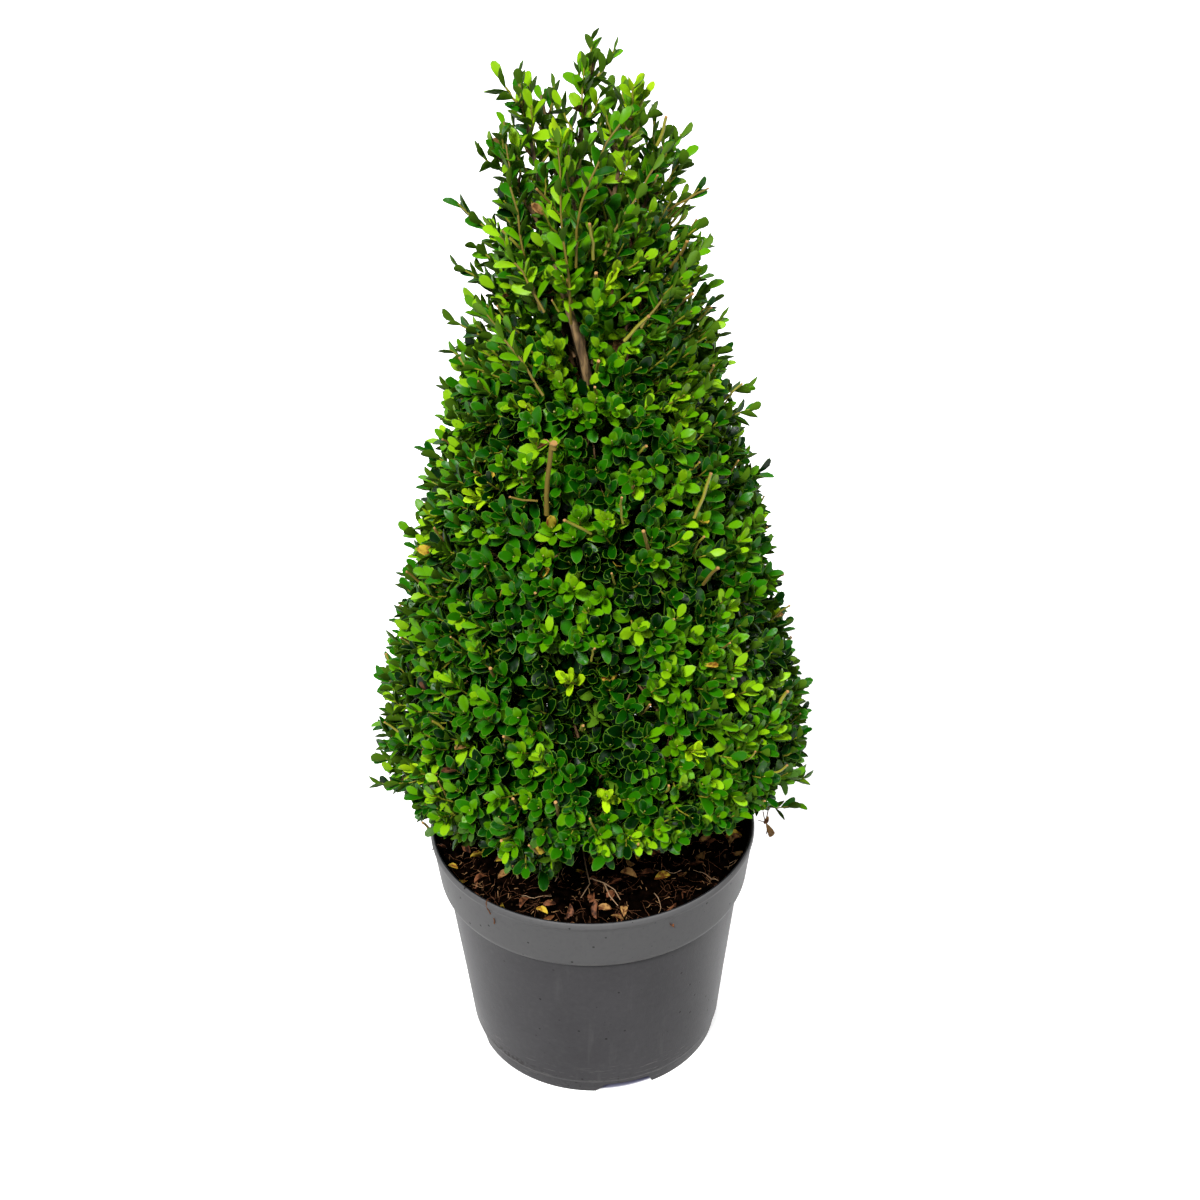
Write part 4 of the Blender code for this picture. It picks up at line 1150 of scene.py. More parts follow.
def through_curve(first, middle, last, count):
    """Points on the curve that passes through three places."""
    first, middle, last = Vector(first), Vector(middle), Vector(last)
    return curve_of(first, middle * 2.0 - (first + last) * 0.5, last, count)


print("stem curves are ready")

# %% [markdown]
# ## What stays open
#
# Some places are kept free of leaves. Sky shows through a few gaps at the crown's right. Seven
# long stems rise through the crown, and a dozen long stubs that the shears left stand bare. They
# are listed here, because every leaf that grows later has to know them.

# %% Gaps, long stems and long stubs
# Each gap is its middle and its radius.
SKY_GAPS = (
    ((0.0740, -0.003, 0.7040), 0.0105),
    ((0.0600, -0.003, 0.7000), 0.0060),
    ((0.0800, -0.003, 0.7370), 0.0060),
)
# Each stem is its foot, a place that it passes, its tip and the age of its leaves.
LONG_STEMS = (
    ((-0.0070, -0.0600, 0.6500), (-0.0102, -0.0710, 0.7100), (-0.0131, -0.0500, 0.7680), BRIGHT),
    ((-0.0030, -0.0640, 0.6900), (0.0060, -0.0655, 0.7450), (0.0330, -0.0400, 0.7840), MID),
    ((-0.0270, -0.0600, 0.6600), (-0.0400, -0.0500, 0.7220), (-0.0470, -0.0200, 0.7720), MID),
    ((-0.0240, -0.0740, 0.6640), (-0.0420, -0.0620, 0.6940), (-0.0560, -0.0440, 0.7120), FRESH),
    ((-0.0260, -0.0880, 0.6120), (-0.0460, -0.0760, 0.6400), (-0.0660, -0.0560, 0.6620), BRIGHT),
    ((0.0380, -0.0700, 0.6500), (0.0580, -0.0540, 0.6700), (0.0850, -0.0200, 0.6900), BRIGHT),
    ((0.0150, -0.0600, 0.6960), (0.0330, -0.0480, 0.7260), (0.0560, -0.0200, 0.7520), MID),
)
# Each stub is its foot, its top, its radius and whether it is brown.
LONG_STUBS = (
    ((-0.0262, -0.0980, 0.5300), (-0.0211, -0.1050, 0.5860), 0.0016, True),
    ((-0.0206, -0.1048, 0.5815), (-0.0196, -0.1052, 0.5862), 0.0022, True),
    ((0.0728, -0.0880, 0.5200), (0.0835, -0.0900, 0.5540), 0.0011, False),
    ((0.0030, -0.1090, 0.5210), (-0.0140, -0.1220, 0.5385), 0.0010, False),
    ((0.0420, -0.1090, 0.5060), (0.0375, -0.1220, 0.5290), 0.0012, True),
    ((0.0245, -0.1070, 0.5270), (0.0235, -0.1180, 0.5520), 0.0008, False),
    ((-0.0320, -0.0980, 0.5405), (-0.0500, -0.1020, 0.5460), 0.0007, True),
    ((0.0790, -0.0970, 0.4730), (0.0880, -0.1080, 0.4920), 0.0011, True),
    ((-0.0240, -0.1480, 0.3180), (-0.0250, -0.1680, 0.3440), 0.0012, True),
    ((0.0580, -0.0060, 0.7060), (0.0850, -0.0030, 0.7200), 0.0007, True),
    ((0.0271, -0.0760, 0.6440), (0.0425, -0.0820, 0.6630), 0.0011, False),
    ((0.0080, -0.0660, 0.6960), (0.0060, -0.0740, 0.7220), 0.0010, False),
)


print("long stems:", len(LONG_STEMS), "long stubs:", len(LONG_STUBS))

# %% [markdown]
# A slit in the front shows the trunk: it is a flat tube from the surface to the trunk, and no leaf
# or stem may be in it. A leaf also isn't grown where it would hide a long stem or stub. It hides
# one if it stands close before it on the way to a viewer in front and a little above, which is the
# direction TOWARDS_FRONT. Sky shows through a gap along the same direction.

# %% Tests for what stays open
TOWARDS_FRONT = Vector((0.0, -0.862, 0.507))
SLIT_HALF_WIDTH, SLIT_HALF_HEIGHT, SLIT_SLANT = 0.0090, 0.0190, 0.22
HIDES_FROM, HIDES_TO, HIDES_BESIDE = 0.0005, 0.03, 0.0032


def in_front_gap(point):
    """The slit in the front through which a finger's length of the trunk shows."""
    front, back = Vector((-0.0015, -0.1000, 0.6430)), Vector((-0.0015, -0.0080, 0.6030))
    line = back - front
    share = max(-0.4, min(1.0, (point - front).dot(line) / line.length_squared))
    off = point - (front + line * share)
    return math.hypot((off.x + SLIT_SLANT * off.z) / SLIT_HALF_WIDTH, off.z / SLIT_HALF_HEIGHT) < 1.0


long_paths = [through_curve(*row[:3], 9) for row in LONG_STEMS]
seen = [place for path in long_paths for place in path[:8]]
seen += [Vector(foot).lerp(Vector(top), k / 10) for foot, top, _, _ in LONG_STUBS for k in range(11)]
seen = np.array(seen)


def is_open(point):
    """Whether a leaf here would close a gap of the crown or cover a stem or stub that shows."""
    for centre, width in SKY_GAPS:
        off = point - Vector(centre)
        if (off - TOWARDS_FRONT * off.dot(TOWARDS_FRONT)).length < width:
            return True
    off = np.array(point) - seen
    ahead = off @ np.array(TOWARDS_FRONT)
    beside = np.linalg.norm(off - ahead[:, None] * np.array(TOWARDS_FRONT), axis=1)
    return bool(((ahead > HIDES_FROM) & (ahead < HIDES_TO) & (beside < HIDES_BESIDE)).any())


print("places that stay bare:", len(SKY_GAPS), "gaps,", len(seen), "points of stems and stubs")

# %% [markdown]
# ## A shoot
#
# A shoot is a curved stem with leaves set round it, each turned 137.5 degrees from the last, as
# most plants do it. Leaves low on the shoot stand out, and those at its end stand up and are
# smaller. Each leaf turns its face a little to the light, and in the loose crown its blade also
# twists outwards. On a clipped plant the shoots are short, so from outside their ends read as
# rosettes. The newest leaves are a step paler than the shoot and the oldest a step darker. A leaf
# that would reach past the shears isn't grown.

# %% Leaves along a stem
GOLDEN = math.radians(137.5)
SHEARS_REACH = 0.1755
WITHERED_SHARE = 0.0045


def grow_leaves(
    leaves, path, dice, count, first, lean, size, age, kind, light=0.25, twist=0.0, free=False
):
    """Leaves along a path, from the share first of its length to its end."""
    spans = np.cumsum([0.0] + [(b - a).length for a, b in zip(path, path[1:])])
    turn = dice.uniform(0.0, 2.0 * math.pi)
    for k in range(count):
        share = first + (1.0 - first) * (k + dice.uniform(0.0, 0.5)) / count
        distance = min(share, 1.0) * spans[-1]
        i = min(int(np.searchsorted(spans, distance, side="right")) - 1, len(path) - 2)
        along = (path[i + 1] - path[i]).normalized()
        root = path[i] + along * (distance - spans[i])
        turn += GOLDEN + dice.uniform(-0.25, 0.25)
        spoke = Matrix.Rotation(turn, 3, along) @ along.orthogonal().normalized()
        angle = lean[0] + (lean[1] - lean[0]) * k / max(1, count - 1) + dice.uniform(-10.0, 10.0)
        angle = math.radians(angle)
        blade = along * math.cos(angle) + spoke * math.sin(angle)
        aside = (root - axis_at(root.z)) * Vector((1.0, 1.0, 0.0))
        face = along * math.sin(angle) - spoke * math.cos(angle) + any_way(dice, 0.25 + 0.35 * twist)
        face += UP * light + aside.normalized() * twist
        face -= blade * face.dot(blade)
        middle = root + blade * 0.007
        if in_front_gap(middle) or face.length < 0.05:
            continue
        if not free and is_open(middle) and dice.random() < 0.85:
            continue
        length = size * (1.0 - 0.26 * (k / count) ** 2) * dice.uniform(0.84, 1.10)
        width = length * dice.uniform(0.44, 0.54)
        tint = age
        if age in (SHADE, MID, BRIGHT) and dice.random() < (0.50 if k >= count - 2 else 0.14):
            tint = age + 1
        elif age in (SHADE, MID, BRIGHT, FRESH) and dice.random() < (0.50 if k < 2 else 0.18):
            tint = age - 1
        if kind != INNER and dice.random() < WITHERED_SHARE:
            tint = dice.choice((YELLOW, TAN, BROWN))
        end = root + blade * length
        if max(abs(end.x), abs(end.y)) < SHEARS_REACH:
            leaves.add(root, blade, face.normalized(), length, width, kind, tint)


print("shoots are ready")

# %% [markdown]
# ## The clipped part
#
# The clipped part grows as four tiers of masses. The leaves of a tier are joined in one or two
# pieces, by the masses that they grow on. The skirt's lower edge is uneven: it is much higher at
# the front right, where the soil shows, and a lobe left of the middle hangs lower over the soil.
# Each such rise or lobe is one bump over the azimuth, and the bumps add up.

# %% Tiers and the skirt's edge
# Each tier is its name, its foot, its top, its number of masses, the azimuth of its first seam,
# the height at which its boughs leave the trunk, and the number of pieces that its leaves make.
TIERS = (
    ("skirt", 0.2060, 0.3320, 6, -60.0, SOIL_TOP_Z + 0.022, 2),
    ("middle", 0.3320, 0.4620, 5, -90.0, 0.3160, 2),
    ("upper", 0.4620, 0.5860, 4, -45.0, 0.4460, 1),
    ("shoulder", 0.5860, 0.7260, 3, -90.0, 0.5420, 1),
)
pieces = {(tier[0], group): Leaves() for tier in TIERS for group in range(tier[6])}
green_twigs, brown_twigs, long_stems, cut_ends = Twigs(), Twigs(), Twigs(), Twigs()


# Each bump is its height in metres, its azimuth and its width in degrees.
FRONT_BUMPS = (
    (0.058, -67.0, 30.0),
    (0.026, -94.0, 9.0),
    (0.024, -131.0, 11.0),
    (-0.009, -110.0, 7.0),
    (0.015, -28.0, 16.0),
    (-0.012, -156.0, 13.0),
)


def bump_at(azimuth, middle, width):
    """1 at the middle azimuth, falling to 0 over some width, all in degrees."""
    away = (math.degrees(azimuth) - middle + 180.0) % 360.0 - 180.0
    return math.exp(-((away / width) ** 2))


def skirt_lift(azimuth, level):
    """How far the skirt's edge is raised here above the even outline."""
    low = min(1.0, max(0.0, (0.300 - level) / 0.060))
    sides = -0.003 * math.cos(azimuth) ** 2 - 0.006 * max(0.0, math.cos(azimuth))
    front = sum(rise * bump_at(azimuth, middle, width) for rise, middle, width in FRONT_BUMPS)
    return low * (sides + front + 0.006 * noise.noise(Vector((azimuth * 2.6, 0.0, 5.0))))


def tip_place(azimuth, level):
    return on_surface(azimuth, level) + UP * skirt_lift(azimuth, level)


print("tiers:", [tier[0] for tier in TIERS])

# %% [markdown]
# Each mass has one bough from the trunk. The bough forks into branchlets, one for each patch of
# the surface about 45 mm across, and each branchlet into the shoots of its patch. The patch knows
# which bough it hangs on and which piece its leaves belong to.

# %% Patches and their boughs
PATCH_WIDTH, PATCH_FOOT, PATCH_TOP = 0.045, 0.222, 0.640


class Patch:
    """A branchlet's end, inside the plant, that the shoots near it start from."""

    def __init__(self, azimuth, level, depth):
        self.place = tip_place(azimuth, level) - outward(azimuth, level) * depth
        tier = next(tier for tier in TIERS if level < tier[2])
        name, foot, top, masses, seam, bough_z, groups = tier
        sweep = 2.0 * math.pi / masses
        number = math.floor((azimuth - math.radians(seam)) / sweep)
        middle = math.radians(seam) + (number + 0.5) * sweep
        heart_z = 0.5 * (foot + top)
        self.bough_foot = trunk_at(bough_z)
        self.bough_heart = on_surface(middle, heart_z) * 0.40 + axis_at(heart_z) * 0.60
        self.bough = (name, number % masses)
        self.piece = (name, (number % masses) * groups // masses)


dice = random.Random("patches")
sites = surface_sites(PATCH_WIDTH, dice, PATCH_FOOT, PATCH_TOP)
patches = [Patch(azimuth, level, dice.uniform(0.044, 0.060)) for azimuth, level in sites]
patch_places = np.array([patch.place for patch in patches])
boughs = {}
for patch in patches:
    if patch.bough not in boughs:
        pull = patch.bough_foot.lerp(patch.bough_heart, 0.5) + UP * 0.012
        bough = curve_of(patch.bough_foot, pull, patch.bough_heart, 7)
        boughs[patch.bough] = wavered(bough, dice, 0.0015)
        brown_twigs.add(boughs[patch.bough], 0.0026, 0.0018)
    fork = boughs[patch.bough][dice.randint(3, 6)]
    pull = fork.lerp(patch.place, 0.55) - UP * 0.008
    brown_twigs.add(wavered(curve_of(fork, pull, patch.place, 6), dice, 0.0015), 0.0015, 0.0011)
print("patches:", len(patches), "boughs:", len(boughs))

# %% [markdown]
# Shears leave a surface that is even from afar and broken close by. Most shoots end within a
# centimetre of it. A few have outgrown it, and some spots are hollow, where the shears went deep
# or the plant is thin. A shoot's green is drawn by chance, but one that starts deep inside gets a
# dark green, painted shade of the plant's inside, those low on the skirt are mostly darker and
# some greyish, and a few tips have just unfolded.

# %% Hollows and ages
HOLLOWS = ((0.006, -0.155, 0.394, 0.026), (-0.054, -0.135, 0.423, 0.018), (0.034, -0.148, 0.410, 0.014))
LIME_TIPS = ((-0.0199, -0.1455, 0.4253), (-0.0703, -0.1445, 0.3536), (0.0407, -0.1162, 0.5305))
LIME_TIPS += ((-0.0325, -0.0874, 0.6195), (0.0753, -0.1433, 0.3694), (-0.0774, -0.0799, 0.5440))


def hollow(point):
    """How far the surface lies back here: mostly nothing, and some 25 mm in the hollows."""
    value = noise.noise(point * 23.0 + Vector((4.0, 9.0, 2.0)))
    depth = 0.024 * min(1.0, max(0.0, (value - 0.26) / 0.20))
    for x, y, z, width in HOLLOWS:
        away = (point - Vector((x, y, z))).length
        depth = max(depth, 0.030 * min(1.0, max(0.0, 1.4 - away / width)))
    return depth


def shoot_green(dice, tip, depth):
    if any((tip - Vector(spot)).length < 0.011 for spot in LIME_TIPS):
        return LIME
    # Shoots deep inside get the darkest greens: painted shade of the plant's inside.
    if depth > 0.020:
        return dice.choice((DEEP, DEEP, SHADE))
    # Low on the skirt the greens are mostly darker, and some greyish.
    if tip.z < 0.300 and dice.random() < 0.6:
        return dice.choice((SAGE, SHADE, SHADE, MID))
    return dice.choices((DEEP, SHADE, MID, BRIGHT, FRESH, LIME), (6, 23, 39, 25, 6, 1))[0]


print("hollows:", len(HOLLOWS), "lime tips:", len(LIME_TIPS))

# %% [markdown]
# A shoot starts from the nearest patch and ends at its tip, where it points outwards and up. The
# shoots grow in layers. A layer scatters tips over the surface, moves them in by its inset, a
# little more by chance and by the hollows, and lets a few stand out. At the right side the shears
# went some millimetres deeper.

# %% Shoots in layers
LEAVES_ON_SHOOT = 9
UNEVEN, RIGHT_INSET, OUTGROWN, OUTGROWN_SHARE = 0.011, 0.008, 0.008, 0.07


def grow_shoot(tip, aim, count, size, age, kind, dice):
    """A shoot from the nearest patch that ends at tip and points along aim."""
    patch = patches[int(np.argmin(((patch_places - np.array(tip)) ** 2).sum(axis=1)))]
    pull = tip - aim * (tip - patch.place).length * 0.62
    path = wavered(curve_of(patch.place, pull, tip, 6), dice, 0.0006)
    leaves, inside = pieces[patch.piece], kind == INNER
    grow_leaves(leaves, path, dice, count, 0.46, (66.0, 20.0), size, age, kind, free=inside)
    green_twigs.add(path[2:], 0.00075, 0.00050)
    return path


def grow_clipped(spacing, inset, dice, foot, top, inner=False):
    """A layer of shoots whose tips lie inset metres under the surface."""
    for azimuth, level in surface_sites(spacing, dice, foot, top):
        face, surface = outward(azimuth, level), tip_place(azimuth, level)
        depth = inset + dice.uniform(0.0, UNEVEN) + hollow(surface)
        depth += RIGHT_INSET * bump_at(azimuth, 0.0, 55.0) * (level > 0.32)
        if not inner and dice.random() < OUTGROWN_SHARE:
            depth -= OUTGROWN
        tip = surface - face * depth
        lift = 0.10 if level < 0.24 else 0.85
        aim = (face + UP * lift + any_way(dice, 0.45)).normalized()
        # The inner layers get only the darkest greens, as painted shade of the plant's inside.
        age = dice.choice((DEEP, DEEP, SHADE)) if inner else shoot_green(dice, tip, depth)
        kind = INNER if inner else YOUNG if age == LIME else dice.choice((BROAD, BROAD, SLIM))
        size = dice.uniform(0.0148, 0.0182) * (0.82 if age == LIME else 1.0)
        count = LEAVES_ON_SHOOT + dice.randint(-1, 1)
        path = grow_shoot(tip, aim, count, size, age, kind, dice)
        if not inner:
            brown_twigs.add(path[:3], 0.00095, 0.00075)


print("layers can be grown")

# %% [markdown]
# The outer layer makes the surface. Under it come three layers of leaves in the darkest greens,
# painted shade of the plant's inside, each deeper and looser than the one before, so that the
# plant is dark inside and no light passes through it. The sides also get a few strays that stand
# out, where they draw the plant's edge.

# %% Grow the clipped part
OUTER_SPACING, OUTER_INSET, OUTER_TOP = 0.0182, 0.005, 0.612
# Each stray is how far it reaches along X, and its height.
STRAYS = (
    (-0.1690, 0.2560),
    (-0.1650, 0.2840),
    (0.1190, 0.5720),
    (0.1700, 0.2520),
    (0.1680, 0.2310),
)
# Each inner layer is its name, its spacing, how deep it lies, its foot and its top.
INNER_LAYERS = (
    ("inner", 0.0208, 0.033, 0.230, 0.610),
    ("deep", 0.0300, 0.052, 0.240, 0.600),
    ("heart", 0.0320, 0.076, 0.260, 0.560),
)
dice = random.Random("strays")
for x, z in STRAYS:
    for side in (-0.020, 0.016):
        tip = Vector((x * dice.uniform(0.97, 1.0), side - 0.003, z + dice.uniform(-0.004, 0.004)))
        aim = Vector((math.copysign(1.0, x), 0.0, 0.35)).normalized()
        age = dice.choice((MID, BRIGHT, SHADE))
        grow_shoot(tip, aim, LEAVES_ON_SHOOT, 0.0165, age, SLIM, dice)
grow_clipped(OUTER_SPACING, OUTER_INSET, random.Random("outer"), SKIRT_Z, OUTER_TOP)
for name, spacing, inset, foot, top in INNER_LAYERS:
    grow_clipped(spacing, inset, random.Random(name), foot, top, inner=True)
print({name: len(piece.rows) for name, piece in pieces.items()})

# %% [markdown]
# ## The loose crown
#
# Above the shoulder the plant has grown out since it was last clipped. Each leader has become a
# plume. Side shoots leave it all the way up, long ones low down and short ones near its tip, and
# they rise steeply. The plumes end at different heights and leave gaps of sky between them. Those
# in the middle carry the freshest leaves. The crown's greens are paler than the clipped part's and
# get paler up each plume: partly young growth, partly painted light for the light that shines
# through its top leaves.

# %% Crown
CROWN_LEAN, CROWN_LIGHT, CROWN_TWIST = (60.0, 20.0), 0.45, 0.75
PLUME_FOOT, PLUME_TOP, PLUME_STEP = 0.34, 0.93, 0.052
CROWN_SIDES = {"centre": 0, "right": 0, "far_right": 0, "back_right": 0, "back_left": 1, "left": 1}
CROWN_SIDES.update({"far_left": 1, "front": 1})
pieces[("crown", 0)] = Leaves()
pieces[("crown", 1)] = Leaves()
# The plumes' paler greens are partly young growth, partly painted light shining through the top leaves.
PLUME_AGES = {"centre": (MID, BRIGHT, FRESH), "right": (MID, BRIGHT, FRESH), "left": (MID, BRIGHT, FRESH)}


def add_stem(path, radius):
    """A sprig's stem, brown in its first third and green beyond, unless it crosses the front gap."""
    if not any(in_front_gap(point) for point in path):
        green_twigs.add(path[len(path) // 3 :], radius * 0.85, radius * 0.55)
        brown_twigs.add(path[: len(path) // 3 + 1], radius, radius * 0.85)


def grow_sprig(piece, foot, tip, bow, age, dice, gap=0.0050):
    """One shoot of the crown from its foot to its tip, bowed outwards."""
    pull = foot.lerp(tip, 0.45) + bow
    path = wavered(curve_of(foot, pull, tip, 8), dice, 0.0007)
    count = max(5, round(0.80 * (tip - foot).length / gap))
    size = dice.uniform(0.0150, 0.0184)
    if age == LIME:
        size *= 0.85
    kind = YOUNG if age == LIME else dice.choice((BROAD, BROAD, SLIM))
    grow_leaves(piece, path, dice, count, 0.14, CROWN_LEAN, size, age, kind, CROWN_LIGHT, CROWN_TWIST)
    add_stem(path, 0.00110)


def grow_plume(leader, dice):
    name = leader[0]
    piece = pieces[("crown", CROWN_SIDES[name])]
    ages = PLUME_AGES.get(name, (MID, MID, BRIGHT))
    turn, share = dice.uniform(0.0, 6.0), PLUME_FOOT
    while share < PLUME_TOP:
        foot = leader_at(leader, share)
        along = (leader_at(leader, share + 0.03) - foot).normalized()
        turn += GOLDEN
        spoke = Matrix.Rotation(turn, 3, along) @ along.orthogonal().normalized()
        length = (0.058 - 0.036 * share) * dice.uniform(0.8, 1.15)
        spread = math.radians(52.0 - 20.0 * share)
        aim = along * math.cos(spread) + spoke * math.sin(spread) + UP * 0.25
        tip = foot + aim.normalized() * length
        age = ages[min(2, int(3.0 * share * dice.uniform(0.7, 1.15)))]
        grow_sprig(piece, foot, tip, spoke * length * 0.10, age, dice)
        share += PLUME_STEP
    top = [leader_at(leader, k / 20) for k in range(15, 21)]
    lean = (56.0, 18.0)
    grow_leaves(piece, top, dice, 9, 0.0, lean, 0.0160, ages[2], BROAD, CROWN_LIGHT, CROWN_TWIST)


dice = random.Random("crown")
for leader in LEADERS:
    grow_plume(leader, dice)
print({name: len(piece.rows) for name, piece in pieces.items()})

# %% [markdown]
# The sprigs that stand out at the plant's edge, where they draw its outline, are placed one by
# one, and so are the long stems. The others are scattered over the outline between the shoulder
# and the plumes. Each rises from the nearest wood below it.

# %% Sprigs of the crown
SPRIG_SPACING, SPRIG_FOOT, SPRIG_TOP = 0.0205, 0.600, 0.735
# Each sprig is the place of its tip, its age and its length.
EDGE_SPRIGS = (
    ((0.0110, -0.0020, 0.8210), FRESH, 0.040),
    ((0.0050, -0.0120, 0.8050), BRIGHT, 0.060),
    ((-0.0370, 0.0000, 0.7990), MID, 0.055),
    ((0.0375, -0.0100, 0.7920), LIME, 0.026),
    ((0.0440, -0.0140, 0.7880), LIME, 0.022),
    ((-0.0123, -0.0493, 0.7740), LIME, 0.014),
    ((-0.0500, -0.0180, 0.7560), BRIGHT, 0.060),
    ((0.0490, -0.0030, 0.7730), MID, 0.060),
    ((0.0570, -0.0030, 0.7570), BRIGHT, 0.060),
    ((0.0695, -0.0030, 0.7430), MID, 0.045),
    ((-0.0800, -0.0060, 0.7140), MID, 0.060),
    ((0.0800, -0.0030, 0.6850), BRIGHT, 0.055),
    ((0.0720, -0.0030, 0.6930), MID, 0.040),
    ((-0.0710, -0.0100, 0.6860), BRIGHT, 0.050),
    ((-0.0840, -0.0030, 0.6700), MID, 0.045),
    ((-0.0890, -0.0030, 0.6320), MID, 0.050),
    ((0.0960, -0.0030, 0.6280), BRIGHT, 0.050),
    ((-0.0920, 0.0000, 0.6080), MID, 0.060),
)
trunk_top = [trunk_at(0.500 + 0.004 * k) for k in range(26)]
crown_stems = [(point, None) for point in trunk_top]
crown_stems += [(leader_at(leader, k / 60), leader[0]) for leader in LEADERS for k in range(2, 56, 3)]


def grow_from_stem(tip, age, length, dice):
    """A sprig that ends at tip and rises from the trunk or the leader that is nearest below."""
    below = [wood for wood in crown_stems if wood[0].z < tip.z - 0.45 * length]
    foot, name = min(
        below, key=lambda wood: (wood[0] - tip).xy.length + 0.6 * abs(wood[0].z - tip.z + length)
    )
    side = CROWN_SIDES[name] if name else int(tip.x < 0.0)
    if (tip - foot).length > 1.6 * length:
        foot = tip + (foot - tip).normalized() * 1.6 * length
    bow = (tip - axis_at(tip.z)) * Vector((1.0, 1.0, 0.0)) * 0.10 + UP * 0.004
    grow_sprig(pieces[("crown", side)], foot, tip, bow, age, dice)


for tip, age, length in EDGE_SPRIGS:
    grow_from_stem(Vector(tip), age, length, dice)
for path, row in zip(long_paths, LONG_STEMS):
    piece = pieces[("crown", int(row[2][0] < 0.0))]
    path = wavered(path, dice, 0.0013)
    look = (0.0158, row[3], BROAD, CROWN_LIGHT, CROWN_TWIST)
    grow_leaves(piece, path, dice, 19, 0.12, CROWN_LEAN, *look, free=True)
    long_stems.add(path, 0.00092, 0.00060)
for azimuth, level in surface_sites(SPRIG_SPACING, dice, SPRIG_FOOT, SPRIG_TOP):
    tip = on_surface(azimuth, level) - outward(azimuth, level) * dice.uniform(0.002, 0.016)
    # These paler greens are partly young growth, partly painted light shining through the crown's leaves.
    age = dice.choices((SHADE, MID, BRIGHT, FRESH, LIME), (10, 34, 36, 18, 2))[0]
    grow_from_stem(tip, age, dice.uniform(0.045, 0.080), dice)
print({name: len(piece.rows) for name, piece in pieces.items()})

# %% [markdown]
# ## Cut stubs, old wood and stray twigs
#
# Where the shears cut a strong shoot, a stub stays behind. It is thicker than the young shoots,
# greenish or brown, and ends in a small tan face of cut wood. The long ones are placed one by one,
# and short ones are scattered over the whole surface. One old stem shows in the front gap.

# %% Stubs and stray twigs
brown_stubs, green_stubs = Twigs(), Twigs()


def grow_stub(foot, top, radius, brown, dice):
    path = wavered(curve_of(foot, foot.lerp(top, 0.5) + any_way(dice, 0.0018), top, 5), dice, 0.0004)
    (brown_stubs if brown else green_stubs).add(path, radius * 1.12, radius)
    along = (path[-1] - path[-2]).normalized()
    cut_ends.add([top - along * 0.0004, top + along * 0.0005], radius * 1.10, radius * 1.02)


dice = random.Random("stubs")
for foot, top, radius, brown in LONG_STUBS:
    grow_stub(Vector(foot), Vector(top), radius, brown, dice)
for azimuth, level in surface_sites(0.0620, dice, 0.250, 0.780):
    face = outward(azimuth, level)
    top = tip_place(azimuth, level) - face * dice.uniform(0.001, 0.012)
    aim = (face + UP * 1.1 + any_way(dice, 0.4)).normalized()
    length = dice.uniform(0.010, 0.024)
    grow_stub(top - aim * length, top, dice.uniform(0.0006, 0.0012), dice.random() < 0.5, dice)

OLD_STEM = (
    ((0.0030, -0.0080, 0.5640), 0.0036),
    ((0.0045, -0.0320, 0.5780), 0.0035),
    ((0.0045, -0.0460, 0.5980), 0.0034),
    ((0.0005, -0.0500, 0.6220), 0.0032),
    ((-0.0050, -0.0500, 0.6440), 0.0029),
    ((-0.0110, -0.0480, 0.6640), 0.0025),
    ((-0.0180, -0.0450, 0.6900), 0.0018),
)
old_path, old_radii = [Vector(point) for point, _ in OLD_STEM], [radius for _, radius in OLD_STEM]
stem_points, stem_faces = barked_tube(old_path, old_radii, 12, BARK_RELIEF)
print("stubs:", len(cut_ends.edges))

# %% [markdown]
# ## Foliage, twigs and stubs as meshes
#
# All growth is decided by now, so the pieces can be made: eight of leaves, and the twigs and stubs
# by their colour. Young stems are yellowish green, the long ones olive, and old wood is brown.

# %% Make the foliage
stem_green = finish("stem_green", rgb(146, 142, 44), 0.50)
stem_brown = finish("stem_brown", rgb(104, 78, 46), 0.75)
long_stem = finish("long_stem", rgb(112, 98, 22), 0.65)
stub_brown = finish("stub_brown", rgb(116, 98, 26), 0.75)
cut_wood = finish("cut_wood", rgb(176, 132, 74), 0.75)
foliage = {key: piece.piece(f"leaves_{key[0]}_{key[1] + 1}") for key, piece in pieces.items()}
twigs = [
    green_twigs.piece("twigs_young", stem_green),
    brown_twigs.piece("twigs_old", stem_brown),
    long_stems.piece("long_stems", long_stem, 8),
    green_stubs.piece("stubs_green", stem_green, 8),
    brown_stubs.piece("stubs_brown", stub_brown, 8),
    cut_ends.piece("stub_cuts", cut_wood, 8),
]
twigs.append(placed("old_stem", mesh_from("old_stem", stem_points, stem_faces), bark))
smooth(twigs[-1].data, 60.0)
print("pieces of foliage:", len(foliage), "of twigs:", len(twigs))

# %% [markdown]
# ## What lies on the soil
#
# Leaves that fell from the plant lie on the peat between crumbs, short fibres, wood chips and thin
# pale roots. All of them lie on the bed's own relief, so each asks the bed how high it is. What is
# long and thin is a path that crawls over the bed and turns back at the pot's wall.

# %% Helpers for the litter
# A little over a full turn, so that every heading is possible.
ANY_HEADING = 6.3
MOUTH_RADIUS = 0.1215
dice = random.Random("litter")
litter, fibres, roots, chips = Leaves(), Twigs(), Twigs(), Twigs()


def on_soil(x, y, rise=0.0):
    """The place over a point of the mouth, rise metres above the bed."""
    return Vector((x, y, soil_height(x, y) + rise))


def in_mouth(dice, inner=0.030, outer=0.1195):
    """A random point of the pot's mouth, between two distances from the trunk."""
    radius, azimuth = math.sqrt(dice.uniform(inner**2, outer**2)), dice.uniform(0.0, 2.0 * math.pi)
    return radius * math.cos(azimuth), radius * math.sin(azimuth)


